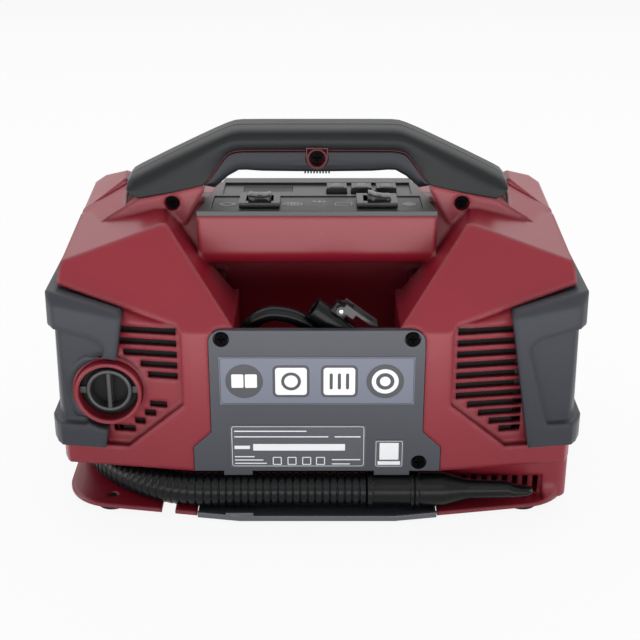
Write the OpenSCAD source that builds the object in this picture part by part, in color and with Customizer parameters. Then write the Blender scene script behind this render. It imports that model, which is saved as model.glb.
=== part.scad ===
// Portable hybrid air compressor: two bolted housing shells on a base tray, a bridge handle,
// a stowed corrugated air hose, a stowed pressure hose with its valve chuck, a piston pump and a blower.
// X runs along the width, -Y is the side with the cable pocket, Z is up, and the feet stand on z = 0.

/* [Housing] */
// Width of the housing between its flat ends
body_w = 300; // [290:1:320]
// Depth of the housing between its two long faces
body_d = 168; // [164:1:180]
// Height of the housing's lower edge above the ground
body_z0 = 29; // [28:0.5:32]
// Height of the top ridge where the long sloped face ends
ridge_z = 165; // [163:0.5:168]
// Plan radius of the four vertical corners
corner_r = 26; // [20:1:30]
// Thickness of the moulded walls
wall = 3; // [2.5:0.1:3.5]
// Depth of the sunk grille fields
grille_depth = 5; // [4:0.5:6]
// Angle at which the outer parts of the long faces sweep back
wing_angle = 8.25; // [6:0.25:9]
// Share of the width that the flat middle of the long faces takes
middle_share = 0.4733; // [0.46:0.0001:0.49]
// Draft of the two ends
end_draft = 2; // [1:0.5:3]

/* [Grille] */
// Mean distance from slot to slot
slot_pitch = 6.3; // [6:0.1:7]
// Height of each slot
slot_h = 4.2; // [3:0.1:4.4]
// Number of slots in a full field
slot_count = 11; // [8:1:11]

/* [Base] */
// Height of the rubber feet
foot_h = 3; // [2:0.5:4]
// Radius of the rubber feet
foot_r = 9; // [7:0.5:10]
// Thickness of the tray floor
floor_t = 2; // [1.5:0.1:2.2]
// How far the tray stands out beyond the long faces
tray_reach = 11; // [10:0.5:14]
// Step from the housing's flat ends in to the ends of the tray
tray_step = 0.5; // [0:0.5:2]

/* [Rear cover] */
// Thickness of the bolted cover
cover_t = 4; // [3:0.5:5]
// Height of the cover's upper edge
cover_top_z = 118; // [114:0.5:119]
// Radius of the screw recesses
recess_r = 4.6; // [4.2:0.1:5]

/* [Handle] */
// Depth of the handle bar
handle_d = 34; // [30:1:38]
// Thickness of the soft grip
grip_t = 3; // [2.5:0.1:3.5]
// Where the two shells meet, in front of the middle
parting_y = 9; // [8:0.5:10]

/* [Control panel] */
// Thickness of the panel bezel
panel_t = 3; // [2.5:0.1:3.5]
// Width of a rocker switch
rocker_w = 16; // [14:0.5:17]
// Depth of a rocker switch
rocker_d = 13; // [12:0.5:14]
// Travel of the push buttons
button_travel = 1; // [0.8:0.1:1.2]

/* [Air port] */
// Outer radius of the outlet tube that the air hose plugs on
outlet_r = 13; // [12:0.25:13.5]
// Outer radius of the red collar around the outlet
collar_r = 19; // [18:0.5:20]

/* [Hoses] */
// Outer radius of the corrugated hose over its ribs
hose_r = 10; // [9:0.5:10]
// Pitch of the ribs
rib_pitch = 4.3; // [4:0.1:5]
// Radius of the smooth pressure hose
pressure_r = 4.5; // [4:0.1:4.6]

/* [Pump] */
// Gear module of the reduction
gear_module = 1; // [1:0.25:1]
// Teeth on the motor pinion
pinion_teeth = 12; // [12:1:14]
// Teeth on the crank gear
gear_teeth = 44; // [42:1:46]
// Crank radius, half the stroke
crank_r = 5; // [4:0.5:5]
// Radial clearance of a running fit
run_gap = 0.05; // [0.03:0.01:0.08]

/* [Hidden] */
big = 700;
gap = 0.3;
red = [0.55, 0.09, 0.13];
dark = [0.16, 0.17, 0.19];
grey = [0.33, 0.34, 0.37];
half_w = body_w / 2;
half_d = body_d / 2;
wing_x = middle_share * half_w;     // half width of the flat middle
tray_w = body_w - 2 * tray_step;
tray_d = body_d + 2 * tray_reach;

// ---- shared outlines and half spaces ----
function arc(c, r, a0, a1, n = 6) =
    [for (i = [0:n]) c + r * [cos(a0 + (a1 - a0) * i / n), sin(a0 + (a1 - a0) * i / n)]];
function round_rect(hx, hy, r) = concat(
    arc([hx - r, hy - r], r, 0, 90), arc([r - hx, hy - r], r, 90, 180),
    arc([r - hx, r - hy], r, 180, 270), arc([hx - r, r - hy], r, 270, 360));
function normal2(a, b) = [a[1] - b[1], b[0] - a[0]] / norm(b - a);
function inset_at(a, b, c, e) =
    let (n1 = normal2(a, b), n2 = normal2(b, c)) b + e * (n1 + n2) / (1 + n1 * n2);
function inset(pts, e) = let (n = len(pts))
    [for (i = [0:n - 1]) inset_at(pts[(i + n - 1) % n], pts[i], pts[(i + 1) % n], e)];
// A half outline and its mirror image, grown by g.
function mirrored(half, g = 0) = inset(concat(half, flipped(half)), -g);

// The corner at b between a and c, rounded with radius r.
function fillet_at(a, b, c, r, n) =
    let (u = (a - b) / norm(a - b), v = (c - b) / norm(c - b), half = acos(u * v) / 2,
        m = b + (u + v) / norm(u + v) * r / sin(half), p = b + r / tan(half) * u - m,
        q = b + r / tan(half) * v - m, a0 = atan2(p[1], p[0]), turn = (atan2(q[1], q[0]) - a0 + 540) % 360 - 180)
    arc(m, r, a0, a0 + turn, n);
// An outline whose corners are rounded by the radii, 0 for a sharp one.
function rounded(pts, radii, n = 6) = let (k = len(pts)) [for (i = [0:k - 1],
    p = radii[i] > 0 ? fillet_at(pts[(i + k - 1) % k], pts[i], pts[(i + 1) % k], radii[i], n) : [pts[i]]) p];

// Everything on the far side of the plane through p with normal n.
module beyond(p, n, d = 0) {
    u = n / norm(n);
    translate(p - d * u) rotate([0, acos(u[2]), atan2(u[1], u[0])])
        translate([-big / 2, -big / 2, 0]) cube(big);
}
// A flat outline in X and Z, extruded from y0 to y1.
module upright(pts, y0, y1) {
    translate([0, y1, 0]) rotate([90, 0, 0]) linear_extrude(y1 - y0) polygon(pts);
}
module y_cylinder(x, z, r, y0, y1) {
    translate([x, y0, z]) rotate([-90, 0, 0]) cylinder(r = r, h = y1 - y0, $fn = 48);
}
module x_cylinder(y, z, r, x0, x1) {
    translate([x0, y, z]) rotate([0, 90, 0]) cylinder(r = r, h = x1 - x0, $fn = 48);
}
module z_cylinder(x, y, r, z0, z1) {
    translate([x, y, z0]) cylinder(r = r, h = z1 - z0, $fn = 48);
}
module box(lo, hi) { translate(lo) cube(hi - lo); }

// ---- housing form ----
// Centre line of the stowed air hose
hose_y = 13.5 - tray_d / 2;
hose_z = foot_h + floor_t + hose_r + 0.3;
hose_side_x = 11 - half_w;
hose_bend = 76;
face_top_z = ridge_z - 49;          // the sloped face starts here on the upright face
ridge_y = half_d - 44;              // distance of the ridge from the middle plane
shoulder_x = half_w - 61;            // the top slopes down outside this width
side_top_z = ridge_z - 22;           // the ends lean in above this height
side_top_x = half_w - (side_top_z - body_z0) * tan(end_draft);
roof_lean = 0.08;                   // fall of the roof from the ridge towards the long faces
shoulder_lean = 0.15;               // the same beside the handle, where the top also falls outwards
shoulder_fall = 0.26;

// The solid form of the housing, sunk by d on every side and cut off at the height low.
module body_form(d, low = body_z0) {
    difference() {
        translate([0, 0, low]) linear_extrude(ridge_z)
            polygon(round_rect(half_w - d, half_d - d, corner_r - d));
        for (s = [-1, 1]) {
            beyond([s * half_w, 0, body_z0], [s * cos(end_draft), 0, sin(end_draft)], d);
            beyond([s * side_top_x, 0, side_top_z], [s * 28, 0, 8], d);
            for (t = [-1, 1]) {
                beyond([s * wing_x, t * half_d, 0], [s * sin(wing_angle), t * cos(wing_angle), 0], d);
                beyond([s * shoulder_x, t * ridge_y, ridge_z], [s * shoulder_fall, t * shoulder_lean, 1], d);
            }
            beyond([0, s * half_d, face_top_z], [0, s * (ridge_z - face_top_z), half_d - ridge_y], d);
            beyond([0, s * ridge_y, ridge_z], [0, s * roof_lean, 1], d);
        }
    }
}

// Sunk field of one end in X and Z, where the grille and the bumper sit.
field_in_x = wing_x + 5;
field_top_in = face_top_z + 3;
field_top_out = field_top_in + 20;
field_low_z = body_z0 + 13;
field_diag_x = half_w - 41;
field_diag_z = field_low_z + 29;
function field(g = 0) = inset([
    [field_diag_x, field_low_z], [half_w + 20, field_low_z], [half_w + 20, field_top_out + 5],
    [half_w, field_top_out], [field_in_x + 2, field_top_in], [field_in_x, field_top_in - 3],
    [field_in_x, field_diag_z]], g);
function flipped(pts) = [for (i = [len(pts) - 1:-1:0]) [-pts[i][0], pts[i][1]]];
module fields(g = 0) {
    upright(field(g), -half_d - 20, half_d + 20);
    upright(flipped(field(g)), -half_d - 20, half_d + 20);
}

// Pocket and the valley that opens it towards the sloped face.
pocket_x = wing_x - 24.5;
pocket_y0 = -half_d + cover_t;
pocket_y1 = 57 - half_d;
pocket_floor = 40;
flank_a = [wing_x + 13, pocket_y1 - 15, ridge_z - 2];
flank_n = [1070, -67, -836];
valley_x = flank_a[0] + 11;
valley_y = pocket_y1 + 2;
console_low_z = ridge_z - 20.5;
recess_top = console_low_z - 6.5;
recess_gap = 4.5;                   // the flanks run on this far behind the pocket's back wall
// Keeps what lies between the two flanks.
module between_flanks(g) {
    difference() {
        children();
        beyond(flank_a, flank_n, -g);
        beyond([-flank_a[0], flank_a[1], flank_a[2]], [-flank_n[0], flank_n[1], flank_n[2]], -g);
    }
}
module valley(g = 0) {
    between_flanks(g) {
        box([-valley_x, -half_d - 10, cover_top_z - g], [valley_x, valley_y + g, 230]);
        box([-valley_x, valley_y - 9, cover_top_z - g], [valley_x, pocket_y1 + recess_gap + g, recess_top + g]);
        // beside the console the back wall leans away
        difference() {
            box([-valley_x, valley_y - 1, console_low_z - 1.5 - g], [valley_x, 1, 230]);
            beyond([0, valley_y, console_low_z - 1.5], [0, 25, -17], -g);
        }
    }
}
// Dark hollow under the console, behind the flanks and the pocket.
recess_y1 = parting_y - 6;
module recess(g = 0) {
    y0 = pocket_y1 + recess_gap;
    box([-pocket_x - 9.5 - g, y0 - g, cover_top_z - 38 - g], [pocket_x + 9.5 + g, recess_y1 + g, recess_top + g]);
    box([-pocket_x - 17 - g, y0 - g, cover_top_z + 3 - g], [pocket_x + 17 + g, recess_y1 + g, recess_top + g]);
}
module pocket(g = 0) {
    box([-pocket_x - g, pocket_y0 - g - 10, pocket_floor - g], [pocket_x + g, pocket_y1 + g, recess_top + g]);
    box([-pocket_x - g, pocket_y1 - 9, cover_top_z - 38 - g], [pocket_x + g, pocket_y1 + recess_gap + g, recess_top + g]);
}

// Raised box that carries the control panel.
panel_y0 = pocket_y1 - 5;
panel_y1 = half_d - 39;
panel_d = panel_y1 - panel_y0;
panel_z0 = ridge_z + 5;
panel_z1 = ridge_z + 1;
panel_half0 = half_w - 80.7;
panel_half1 = half_w - 92.3;
panel_k = panel_half0 / 69.3;               // what sits on the panel spreads with it
panel_slope = (panel_z0 - panel_z1) / panel_d;
function panel_z(y) = panel_z0 - panel_slope * (y - panel_y0);
function console_plan(g = 0) = inset([[-panel_half0, panel_y0], [panel_half0, panel_y0],
    [panel_half1, panel_y1], [-panel_half1, panel_y1]], g);
module console(g, low, drop) {
    difference() {
        translate([0, 0, low]) linear_extrude(60) polygon(console_plan(g));
        beyond([0, panel_y0, panel_z0 - drop], [0, panel_slope, 1]);
    }
}

// Rounded lower edge of the console's front, sunk by g.
roll_r = 13;
roll_lead = 14;                             // the front bends in by this angle where the roll starts
module roll(g = 0) {
    intersection() {
        x_cylinder(panel_y0 + roll_r * cos(roll_lead), console_low_z + roll_r * sin(roll_lead), roll_r - g,
            -panel_half0, panel_half0);
        translate([0, 0, console_low_z - roll_r]) linear_extrude(2 * roll_r) polygon(console_plan(g));
    }
}

// Clears the roof where the control panel lies.
module panel_seat() {
    intersection() {
        translate([0, 0, console_low_z]) linear_extrude(panel_z0 + 3 - console_low_z)
            polygon(console_plan(-gap));
        beyond([0, panel_y0, panel_z0 - panel_t], [0, panel_slope, 1]);
    }
}

// Handle outline in X and Z, and the arms that carry it.
handle_half = [[0, 187], [32, 187.5], [46, 188.3], [52.5, 184], [60.5, 177], [66.7, 180.7], [85, 176.2],
    [105.3, 172.4], [111, 175], [112, 180], [109, 184.5], [80, 199], [53, 211.8], [47, 213.3], [0, 213.5]];
handle_tip = 112;
handle_k = (half_w - 38) / handle_tip;      // the handle grows with the housing
function spread(pts) = [for (p = pts) [p[0] * handle_k, p[1]]];
function handle_outline(e) = inset(concat(spread(handle_half),
    [for (i = [len(handle_half) - 2:-1:1]) [-handle_half[i][0] * handle_k, handle_half[i][1]]]), e);
arm_half = spread([[77.6, 157], [124, 157], [124, 161], [105.3, 172.4], [85, 176.2], [66.7, 180.7],
    [66, 177]]);
arm_d = 17.5;
// The bar in three steps, which round its long edges.
module handle_bar() {
    steps = [[0, 0.72], [1.2, 0.9], [2.6, 1]];
    for (s = steps)
        upright(handle_outline(s[0]), -handle_d / 2 * s[1], handle_d / 2 * s[1]);
}
// Stiff core inside the grips, with a neck down to each arm.
module handle_core() {
    upright(handle_outline(grip_t + 0.2), grip_t - handle_d / 2, handle_d / 2 - grip_t);
    for (s = [-1, 1])
        upright(s > 0 ? neck : flipped(neck), -10, 10);
}
neck = spread([[84, 165], [102, 165], [102, 178], [84, 184]]);
module arms(e = 0) {
    upright(inset(arm_half, e), -arm_d, arm_d);
    upright(flipped(inset(arm_half, e)), -arm_d, arm_d);
}
// The shoulders climb to the ends of the handle: gently on the rear shell, higher on the front one.
crest_y = ridge_y + 10;
module hump(side, d = 0) {
    tip = handle_tip * handle_k + 0.6;
    for (m = [0, 1]) mirror([m, 0, 0]) difference() {
        if (side < 0)
            box([tip + d, d - arm_d, ridge_z - 25], [half_w, parting_y, ridge_z + 30]);
        else
            box([tip - 10, parting_y, ridge_z - 25], [half_w, crest_y + 10, ridge_z + 30]);
        beyond([side_top_x, 0, side_top_z], [28, 0, 8], d);
        if (side < 0) {
            beyond([half_w - 25, parting_y, ridge_z + 3], [0.609, -0.309, 1], d);
        } else {
            beyond([half_w - 17, parting_y, ridge_z - 1.7], [0.77, -0.1, 1], d);
            beyond([half_w - 15.5, crest_y, ridge_z + 1.3], [-0.096, 0.49, 1], d);
            beyond([0, crest_y, ridge_z - 1], [0, 19, 8], d);
            beyond([tip - 7, 0, ridge_z], [-10, 0, 8], d);
            if (d == 0) box([0, -handle_d, ridge_z - 30], [tip, handle_d / 2 + 0.4, ridge_z + 50]);
        }
    }
}
// Battery bay in the front, and the ports.
bay_x = 41;
bay_y = half_d - 34;
bay_z0 = 36;
bay_z1 = 112;
port_x = 31.3 - half_w;
port_z = 77.4;
port_y = half_d - 6;
inlet_x = 58;
inlet_z = 46;

screw_r = 1.6;
head_h = 2.6;
recess_depth = 6;
shoulder_screws = spread([[-84.7, 170], [84.7, 170]]);
handle_screw = [0, 196.5];
cover_holes = [[17.7 - wing_x, cover_top_z - 5.3], [wing_x - 17.7, cover_top_z - 5.3],
    [wing_x - 12.2, body_z0 + 5.6]];

slot_bow = 0.09;                            // the slots close up a little towards the bottom
function slot_z(i) = field_top_in - 4.7 - slot_pitch * i - slot_bow * i * (slot_count - 1 - i);
function slot_in_x(z) = max(field_in_x + 3, field_in_x + 7
    + (field_diag_z - z) * (field_diag_x - field_in_x) / (field_diag_z - field_low_z));
slot_out_x = half_w - 32;
// Slots of a full field on the +X side, cut through the long wall on side t.
module slots(t, x_out) {
    for (i = [0:slot_count - 1]) {
        z = slot_z(i);
        if (x_out > slot_in_x(z) + 4)
            translate([slot_in_x(z), t > 0 ? half_d - 30 : -half_d, z - slot_h / 2])
                cube([x_out - slot_in_x(z), 30, slot_h]);
    }
}
// Slots beside a port: they stop at the ring around it and leave a bare field in the middle.
port_clear = collar_r + 5.5;
function port_edge(z) = let (h = port_clear * port_clear - (z - port_z) * (z - port_z))
    h > 0 ? -port_x - sqrt(h) : slot_out_x;
module port_slots(t) {
    for (i = [0:slot_count - 1]) {
        z = slot_z(i);
        out = min(slot_out_x, port_edge(z));
        if ((i < 5 || i > 6) && out > slot_in_x(z) + 4)
            translate([-out, t > 0 ? half_d - 30 : -half_d, z - slot_h / 2])
                cube([out - slot_in_x(z), 30, slot_h]);
    }
}

// Hollow of the housing, with the walls of the pocket, the valley and the battery bay left standing.
module cavity(side) {
    low = body_z0 - 5;
    difference() {
        union() {
            body_form(grille_depth + wall, low);
            difference() { body_form(wall, low); fields(-wall); }
            hump(side, wall);
        }
        if (side < 0) {
            valley(wall);
            pocket(wall);
            recess(wall);
            upright(mirrored(cover_half, -wall), -half_d - 5, -half_d + cover_t + wall);
            for (h = cover_holes) y_cylinder(h[0], h[1], recess_r + 1.4, -half_d, -half_d + 22);
        } else {
            box([-bay_x - wall, bay_y - wall, 0], [bay_x + wall, half_d, bay_z1 + wall]);
        }
    }
}
// One housing shell: side is -1 for the rear, 1 for the front.
module shell(side) {
    t = side;
    difference() {
        union() {
            difference() {
                union() {
                    body_form(grille_depth);
                    difference() { body_form(0); fields(); }
                }
                cavity(side);
                if (side < 0) {
                    valley();
                    pocket();
                    recess();
                } else {
                    box([-bay_x, bay_y, body_z0 - 1], [bay_x, half_d + 5, bay_z1]);
                }
            }
            arms();
            hump(side);
            console(0, console_low_z, panel_t);
            if (side < 0) roll();
            handle_core();
            y_cylinder(port_x, port_z, collar_r + 2, t < 0 ? 2 - port_y : port_y - 14,
                t < 0 ? 14 - port_y : port_y - 2);
            y_cylinder(handle_screw[0], handle_screw[1], recess_r + 1.6, 1 - handle_d / 2, handle_d / 2 - 1);
        }
        console(wall, console_low_z + wall, panel_t + wall);
        if (side < 0) roll(wall);
        panel_holes(0.6);
        panel_seat();
        y_cylinder(port_x, port_z, collar_r + gap, -half_d - 9, half_d + 9);
        // screw recesses and pilot holes
        for (s = shoulder_screws) {
            y_cylinder(s[0], s[1], recess_r, -arm_d - 9, recess_depth - arm_d);
            y_cylinder(s[0], s[1], screw_r, -arm_d, arm_d - 4);
        }
        y_cylinder(handle_screw[0], handle_screw[1], recess_r, -handle_d, recess_depth - handle_d / 2);
        y_cylinder(handle_screw[0], handle_screw[1], screw_r, -handle_d, handle_d / 2 - 5);
        if (side < 0) {
            for (h = cover_holes) y_cylinder(h[0], h[1], screw_r, -half_d, -half_d + 19);
            cover_seat();
            y_cylinder(gland_x, gland_z, pressure_r + 2 + gap, pocket_y1 - 5, 0);
            slots(-1, slot_out_x);
            port_slots(-1);
        } else {
            slots(1, slot_out_x);
            port_slots(1);
            box([inlet_x - 11, half_d - 24, inlet_z - 7], [inlet_x + 11, half_d + 16, inlet_z + 7]);
        }
        translate([-big / 2, side < 0 ? parting_y : parting_y - big, -big / 2]) cube(big);
    }
}
module rear_housing() { color(red) shell(-1); }
module front_housing() { color(red) shell(1); }

// ---- rear cover ----
cover_low_z = body_z0;
cover_half = concat([[wing_x, cover_low_z], [wing_x, cover_low_z + 15.5], [wing_x - 10.5, cover_low_z + 25.5]],
    arc([wing_x - 17.5, cover_top_z - 7], 7, 0, 90, 4));
cover_tabs = [[17 - wing_x, 33.5 - wing_x], [wing_x - 38, wing_x - 17.5]];
module cover_seat() { upright(mirrored(cover_half, gap), -half_d - 1, -half_d + cover_t); }
module rear_cover() {
    color(grey) difference() {
        union() {
            upright(mirrored(cover_half, 0), -half_d, -half_d + cover_t);
            for (t = cover_tabs)
                box([t[0], -half_d, hose_z + hose_r + 0.9], [t[1], -half_d + 2.4, cover_low_z + 1]);
        }
        for (h = cover_holes) {
            y_cylinder(h[0], h[1], recess_r, -half_d - 1, -half_d + cover_t - 1.2);
            y_cylinder(h[0], h[1], screw_r + 0.4, -half_d - 1, -half_d + cover_t + 1);
        }
    }
}
label_t = 0.3;
label_low_z = cover_low_z + 2.5;
symbol_x = wing_x - 16;
symbol_z = [cover_top_z - 45.5, cover_top_z - 16];
// A thin plate stuck on the cover, from x0 to x1 and from z0 to z1.
module plate(x0, x1, z0, z1) { box([x0, -half_d - label_t, z0], [x1, -half_d, z1]); }
module symbol_label() { color([0.6, 0.62, 0.66]) plate(-symbol_x, symbol_x, symbol_z[0], symbol_z[1]); }
module rating_label() {
    color([0.36, 0.37, 0.4]) plate(21 - wing_x, wing_x - 43, label_low_z, label_low_z + 27.5);
}
module code_label() {
    color([0.36, 0.37, 0.4]) plate(wing_x - 38, wing_x - 21, label_low_z, label_low_z + 18);
}

// ---- base ----
tray_z = foot_h;
tray_top = tray_z + floor_t;
tray_flat_x = 45;
tray_sweep = 9.5;
core_y = -hose_y - hose_r - 1.5;
core_bend = hose_bend - hose_r - 2;
core_x = hose_side_x + hose_r + 2;
bed_x = wing_x - 1;
foot_x = half_w - 28;
foot_y = tray_d / 2 - 24.5;
foot_spots = [for (x = [-foot_x, foot_x], y = [-foot_y, foot_y]) [x, y]];
notch_x = [-wing_x - 20, -wing_x - 12];
tray_corner = 30;
vent_x = half_w - 76.6;
vent_pitch = 6.1;
vent_w = 3.1;
vent_top = tray_top + 12;
vent_end = half_w - 16;
plate_t = 1.2;
// Outline of the tray: flat in the middle of each long side, swept back outside, rounded at the corners.
tray_end_y = tray_d / 2 - (tray_w / 2 - tray_flat_x) * tan(tray_sweep);
tray_half = [[tray_w / 2, -tray_end_y], [tray_w / 2, tray_end_y], [tray_flat_x, tray_d / 2],
    [-tray_flat_x, tray_d / 2]];
tray_radii = [tray_corner, tray_corner, 0, 0];
tray_outline = rounded(concat(tray_half, [for (p = tray_half) -p]), concat(tray_radii, tray_radii), 10);
module tray_plan(d) { linear_extrude(floor_t + 30) polygon(inset(tray_outline, d)); }
// Plinth that carries the housing, sunk by d on every side; the hose bends round its left end.
plinth_x = tray_w / 2 - 0.2;
module plinth(d) {
    intersection() {
        linear_extrude(body_z0) polygon(inset(concat(
            arc([plinth_x - 8, 8 - core_y], 8, -90, 0, 6), arc([plinth_x - 8, core_y - 8], 8, 0, 90, 6),
            arc([core_x + core_bend, core_y - core_bend], core_bend, 90, 180, 12),
            arc([core_x + core_bend, core_bend - core_y], core_bend, 180, 270, 12)), d));
        box([-big, -big, -1], [big, big, body_z0 - d]);
    }
}
// Concave foot of the plinth's right end, on side t.
foot_fillet = 9;
module plinth_foot(t) {
    intersection() {
        tray_plan(0.6);
        translate([vent_end, 0, 0]) rotate([90, 0, 90]) linear_extrude(60) scale([t, 1])
            polygon(concat([[core_y - 1, tray_z + 0.5], [core_y - 1, tray_top + foot_fillet]],
                arc([core_y + foot_fillet, tray_top + foot_fillet], foot_fillet, 180, 270, 8),
                [[core_y + foot_fillet, tray_z + 0.5]]));
    }
}
module base_tray() {
    color(red) difference() {
        union() {
            intersection() { tray_plan(0); box([-big, -big, tray_z], [big, big, tray_top]); }
            difference() { plinth(0); box([-big, -big, -2], [big, big, tray_z]); }
            for (t = [-1, 1]) plinth_foot(t);
        }
        difference() { plinth(2.5); box([-big, -big, -2], [big, big, tray_top]); }
        // the bed under the middle of the hose is open, and the base plate closes it from below
        box([-bed_x, -tray_d, tray_z - 1], [bed_x, -core_y, tray_top + 1]);
        box([-bed_x, core_y, tray_z - 1], [bed_x, tray_d, tray_top + 1]);
        // finger notch, vents behind the nozzle, foot holes
        box([notch_x[0], -tray_d, 0], [notch_x[1], -core_y - 4, tray_top + 1]);
        box([vent_x - 4, -core_y - 1, tray_top], [vent_end, 1.2 - core_y, vent_top + 1.4]);
        for (i = [0:9]) translate([vent_x + vent_pitch * i, 0, 0])
            box([0, -core_y - 3, tray_top + 0.8], [vent_w, -core_y + 5, vent_top]);
        for (f = foot_spots) z_cylinder(f[0], f[1], 2.5, 0, tray_top + 1);
    }
}
module base_plate() {
    color(dark) difference() {
        union() {
            box([-bed_x - 6, -core_y + 3, tray_z - plate_t], [bed_x + 6, core_y - 3, tray_z]);
            intersection() {
                tray_plan(0);
                union() {
                    box([gap - bed_x, -tray_d, tray_z - plate_t], [bed_x - gap, tray_d, tray_z]);
                    difference() {
                        box([gap - bed_x, -tray_d, tray_z - 0.1], [bed_x - gap, tray_d, tray_top]);
                        translate([0, 0, -1]) tray_plan(2);
                    }
                    // one raised tab on each long edge
                    for (t = [-1, 1])
                        box([t * tray_flat_x - 8, t < 0 ? 1 - tray_d / 2 : tray_d / 2 - 3, tray_top - 1],
                            [t * tray_flat_x + 8, t < 0 ? 3 - tray_d / 2 : tray_d / 2 - 1, tray_top + 1.4]);
                }
            }
        }
        for (x = [-40:20:40], y = [-30:15:30]) box([x - 7, y - 2, 0], [x + 7, y + 2, 10]);
    }
}
module feet() {
    color(dark) for (f = foot_spots) {
        z_cylinder(f[0], f[1], foot_r, 0, foot_h);
        z_cylinder(f[0], f[1], 2.5, foot_h - 0.5, tray_top - 0.2);
    }
}

// ---- handle grips ----
module grip(side) {
    color(dark) difference() {
        handle_bar();
        handle_core();
        y_cylinder(handle_screw[0], handle_screw[1], recess_r + 1.9, -handle_d, handle_d);
        translate([-big / 2, side < 0 ? parting_y : parting_y - big, -big / 2]) cube(big);
    }
}
module handle_grip_rear() { grip(-1); }
module handle_grip_front() { grip(1); }

// ---- control panel ----
near_y0 = panel_y0 + 0.065 * panel_d;
near_y1 = panel_y0 + 0.442 * panel_d;
far_y0 = panel_y0 + 0.487 * panel_d;
far_y1 = panel_y0 + 0.857 * panel_d;
near_x = 61.5 * panel_k;
far_x = 57 * panel_k;
rocker_y = panel_y0 + 0.234 * panel_d;
rocker_x = [-33.5 * panel_k, 35 * panel_k];
frame_x = rocker_w / 2 + 3.8;
frame_y = rocker_d / 2 + 0.0584 * panel_d;
button_w = 12 * panel_k;
button_d = 12;
button_pitch = 15 * panel_k;
button_x = [for (i = [0:2]) 11.9 * panel_k + button_pitch * i];
button_y = panel_y0 + 0.636 * panel_d;
button_top = 2.6;
window_x = [-45 * panel_k, -15 * panel_k];
window_y = [button_y + 1, button_y + 13];
tilt = -atan(panel_slope);
// Moves to the panel's top surface at height h above it.
module on_panel(h = 0) {
    translate([0, panel_y0, panel_z0]) rotate([tilt, 0, 0]) translate([0, -panel_y0, h]) children();
}
module panel_box(x0, x1, y0, y1, h0, h1) { on_panel() box([x0, y0, h0], [x1, y1, h1]); }
// A box of half width a and half depth b about the point x, y of the panel.
module panel_block(x, y, a, b, h0, h1) { panel_box(x - a, x + a, y - b, y + b, h0, h1); }
// Openings for the switches, buttons and display, with a margin of g.
module panel_holes(g = 0) {
    for (x = rocker_x) panel_block(x, rocker_y, frame_x - 1 + g, frame_y - 1 + g, -20, 9);
    for (x = button_x) panel_block(x, button_y, button_w / 2 + gap + g, button_d / 2 + gap + g, -20, 9);
    panel_box(window_x[0] - g, window_x[1] + g, window_y[0] - g, window_y[1] + g, -20, 9);
}
module control_panel() {
    color(grey) difference() {
        intersection() {
            console(0, console_low_z, 0);
            beyond([0, panel_y0, panel_z0 - panel_t], [0, panel_slope, 1]);
        }
        panel_box(-near_x, near_x, near_y0, near_y1, -1.2, 2);
        panel_box(-far_x, far_x, far_y0, far_y1, -1.6, 2);
        panel_holes();
    }
}
module panel_fascia() {
    color(grey) difference() {
        panel_box(-near_x + gap, near_x - gap, near_y0 + gap, near_y1 - gap, -1.2, -0.7);
        panel_holes();
    }
}
module display_window() {
    color([0.05, 0.05, 0.06]) panel_box(window_x[0] + 0.2, window_x[1] - 0.2, window_y[0] + 0.2,
        window_y[1] - 0.2, -panel_t, -1.7);
}
board_h = -13;
module display_board() {
    color([0.1, 0.35, 0.2]) {
        panel_box(window_x[0] - 7, button_x[2] + 10, button_y - 9, button_y + 16, board_h, board_h + 1.6);
        panel_box(window_x[0] + 1, window_x[1] - 1, window_y[0] + 1, window_y[1] - 1,
            board_h + 1.6, -panel_t - gap);
        for (x = button_x)
            panel_block(x, button_y, 3, 3, board_h + 1.6, button_low - button_travel - gap);
    }
}
button_low = -6.5;
module rocker_frame(x) {
    color(dark) difference() {
        union() {
            panel_block(x, rocker_y, frame_x, frame_y, 0, 3);
            panel_block(x, rocker_y, frame_x - 1.2, frame_y - 1.2, -16, 0.2);
        }
        panel_block(x, rocker_y, rocker_w / 2, rocker_d / 2, -10, 9);
        on_panel() translate([x, rocker_y + frame_y - 2, -3]) rotate([90, 0, 0])
            cylinder(r = rocker_pin_r + run_gap, h = 2 * frame_y - 4, $fn = 32);
    }
}
module rocker_frame_left() { rocker_frame(rocker_x[0]); }
module rocker_frame_right() { rocker_frame(rocker_x[1]); }
rocker_pin_r = 2;
rocker_tilt = 10;
// Rocker paddle with a dished top; it tilts about a pin along Y.
module rocker(x, angle) {
    color(dark) on_panel() translate([x, rocker_y, -3]) rotate([0, angle, 0]) {
        difference() {
            intersection() {
                translate([0, rocker_d / 2 - gap, 0]) rotate([90, 0, 0])
                    cylinder(r = rocker_w / 2 + 0.6, h = rocker_d - 2 * gap, $fn = 64);
                box([-rocker_w / 2 + 0.8, -rocker_d, -4], [rocker_w / 2 - 0.8, rocker_d, 12]);
            }
            translate([0, rocker_d, 16]) rotate([90, 0, 0]) cylinder(r = 11, h = 2 * rocker_d, $fn = 96);
        }
        translate([0, frame_y - 2.4, 0]) rotate([90, 0, 0])
            cylinder(r = rocker_pin_r, h = 2 * frame_y - 4.8, $fn = 32);
    }
}
module rocker_left() { rocker(rocker_x[0], 0); }
module rocker_right() { rocker(rocker_x[1], rocker_tilt); }
module button(x) {
    color(grey) {
        panel_block(x, button_y, button_w / 2, button_d / 2, button_low, button_top);
        panel_block(x, button_y, button_w / 2 + 0.2, 2, button_low, button_low + 1);
    }
}
module button_minus() { button(button_x[0]); }
module button_plus() { button(button_x[1]); }
module button_unit() { button(button_x[2]); }

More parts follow.
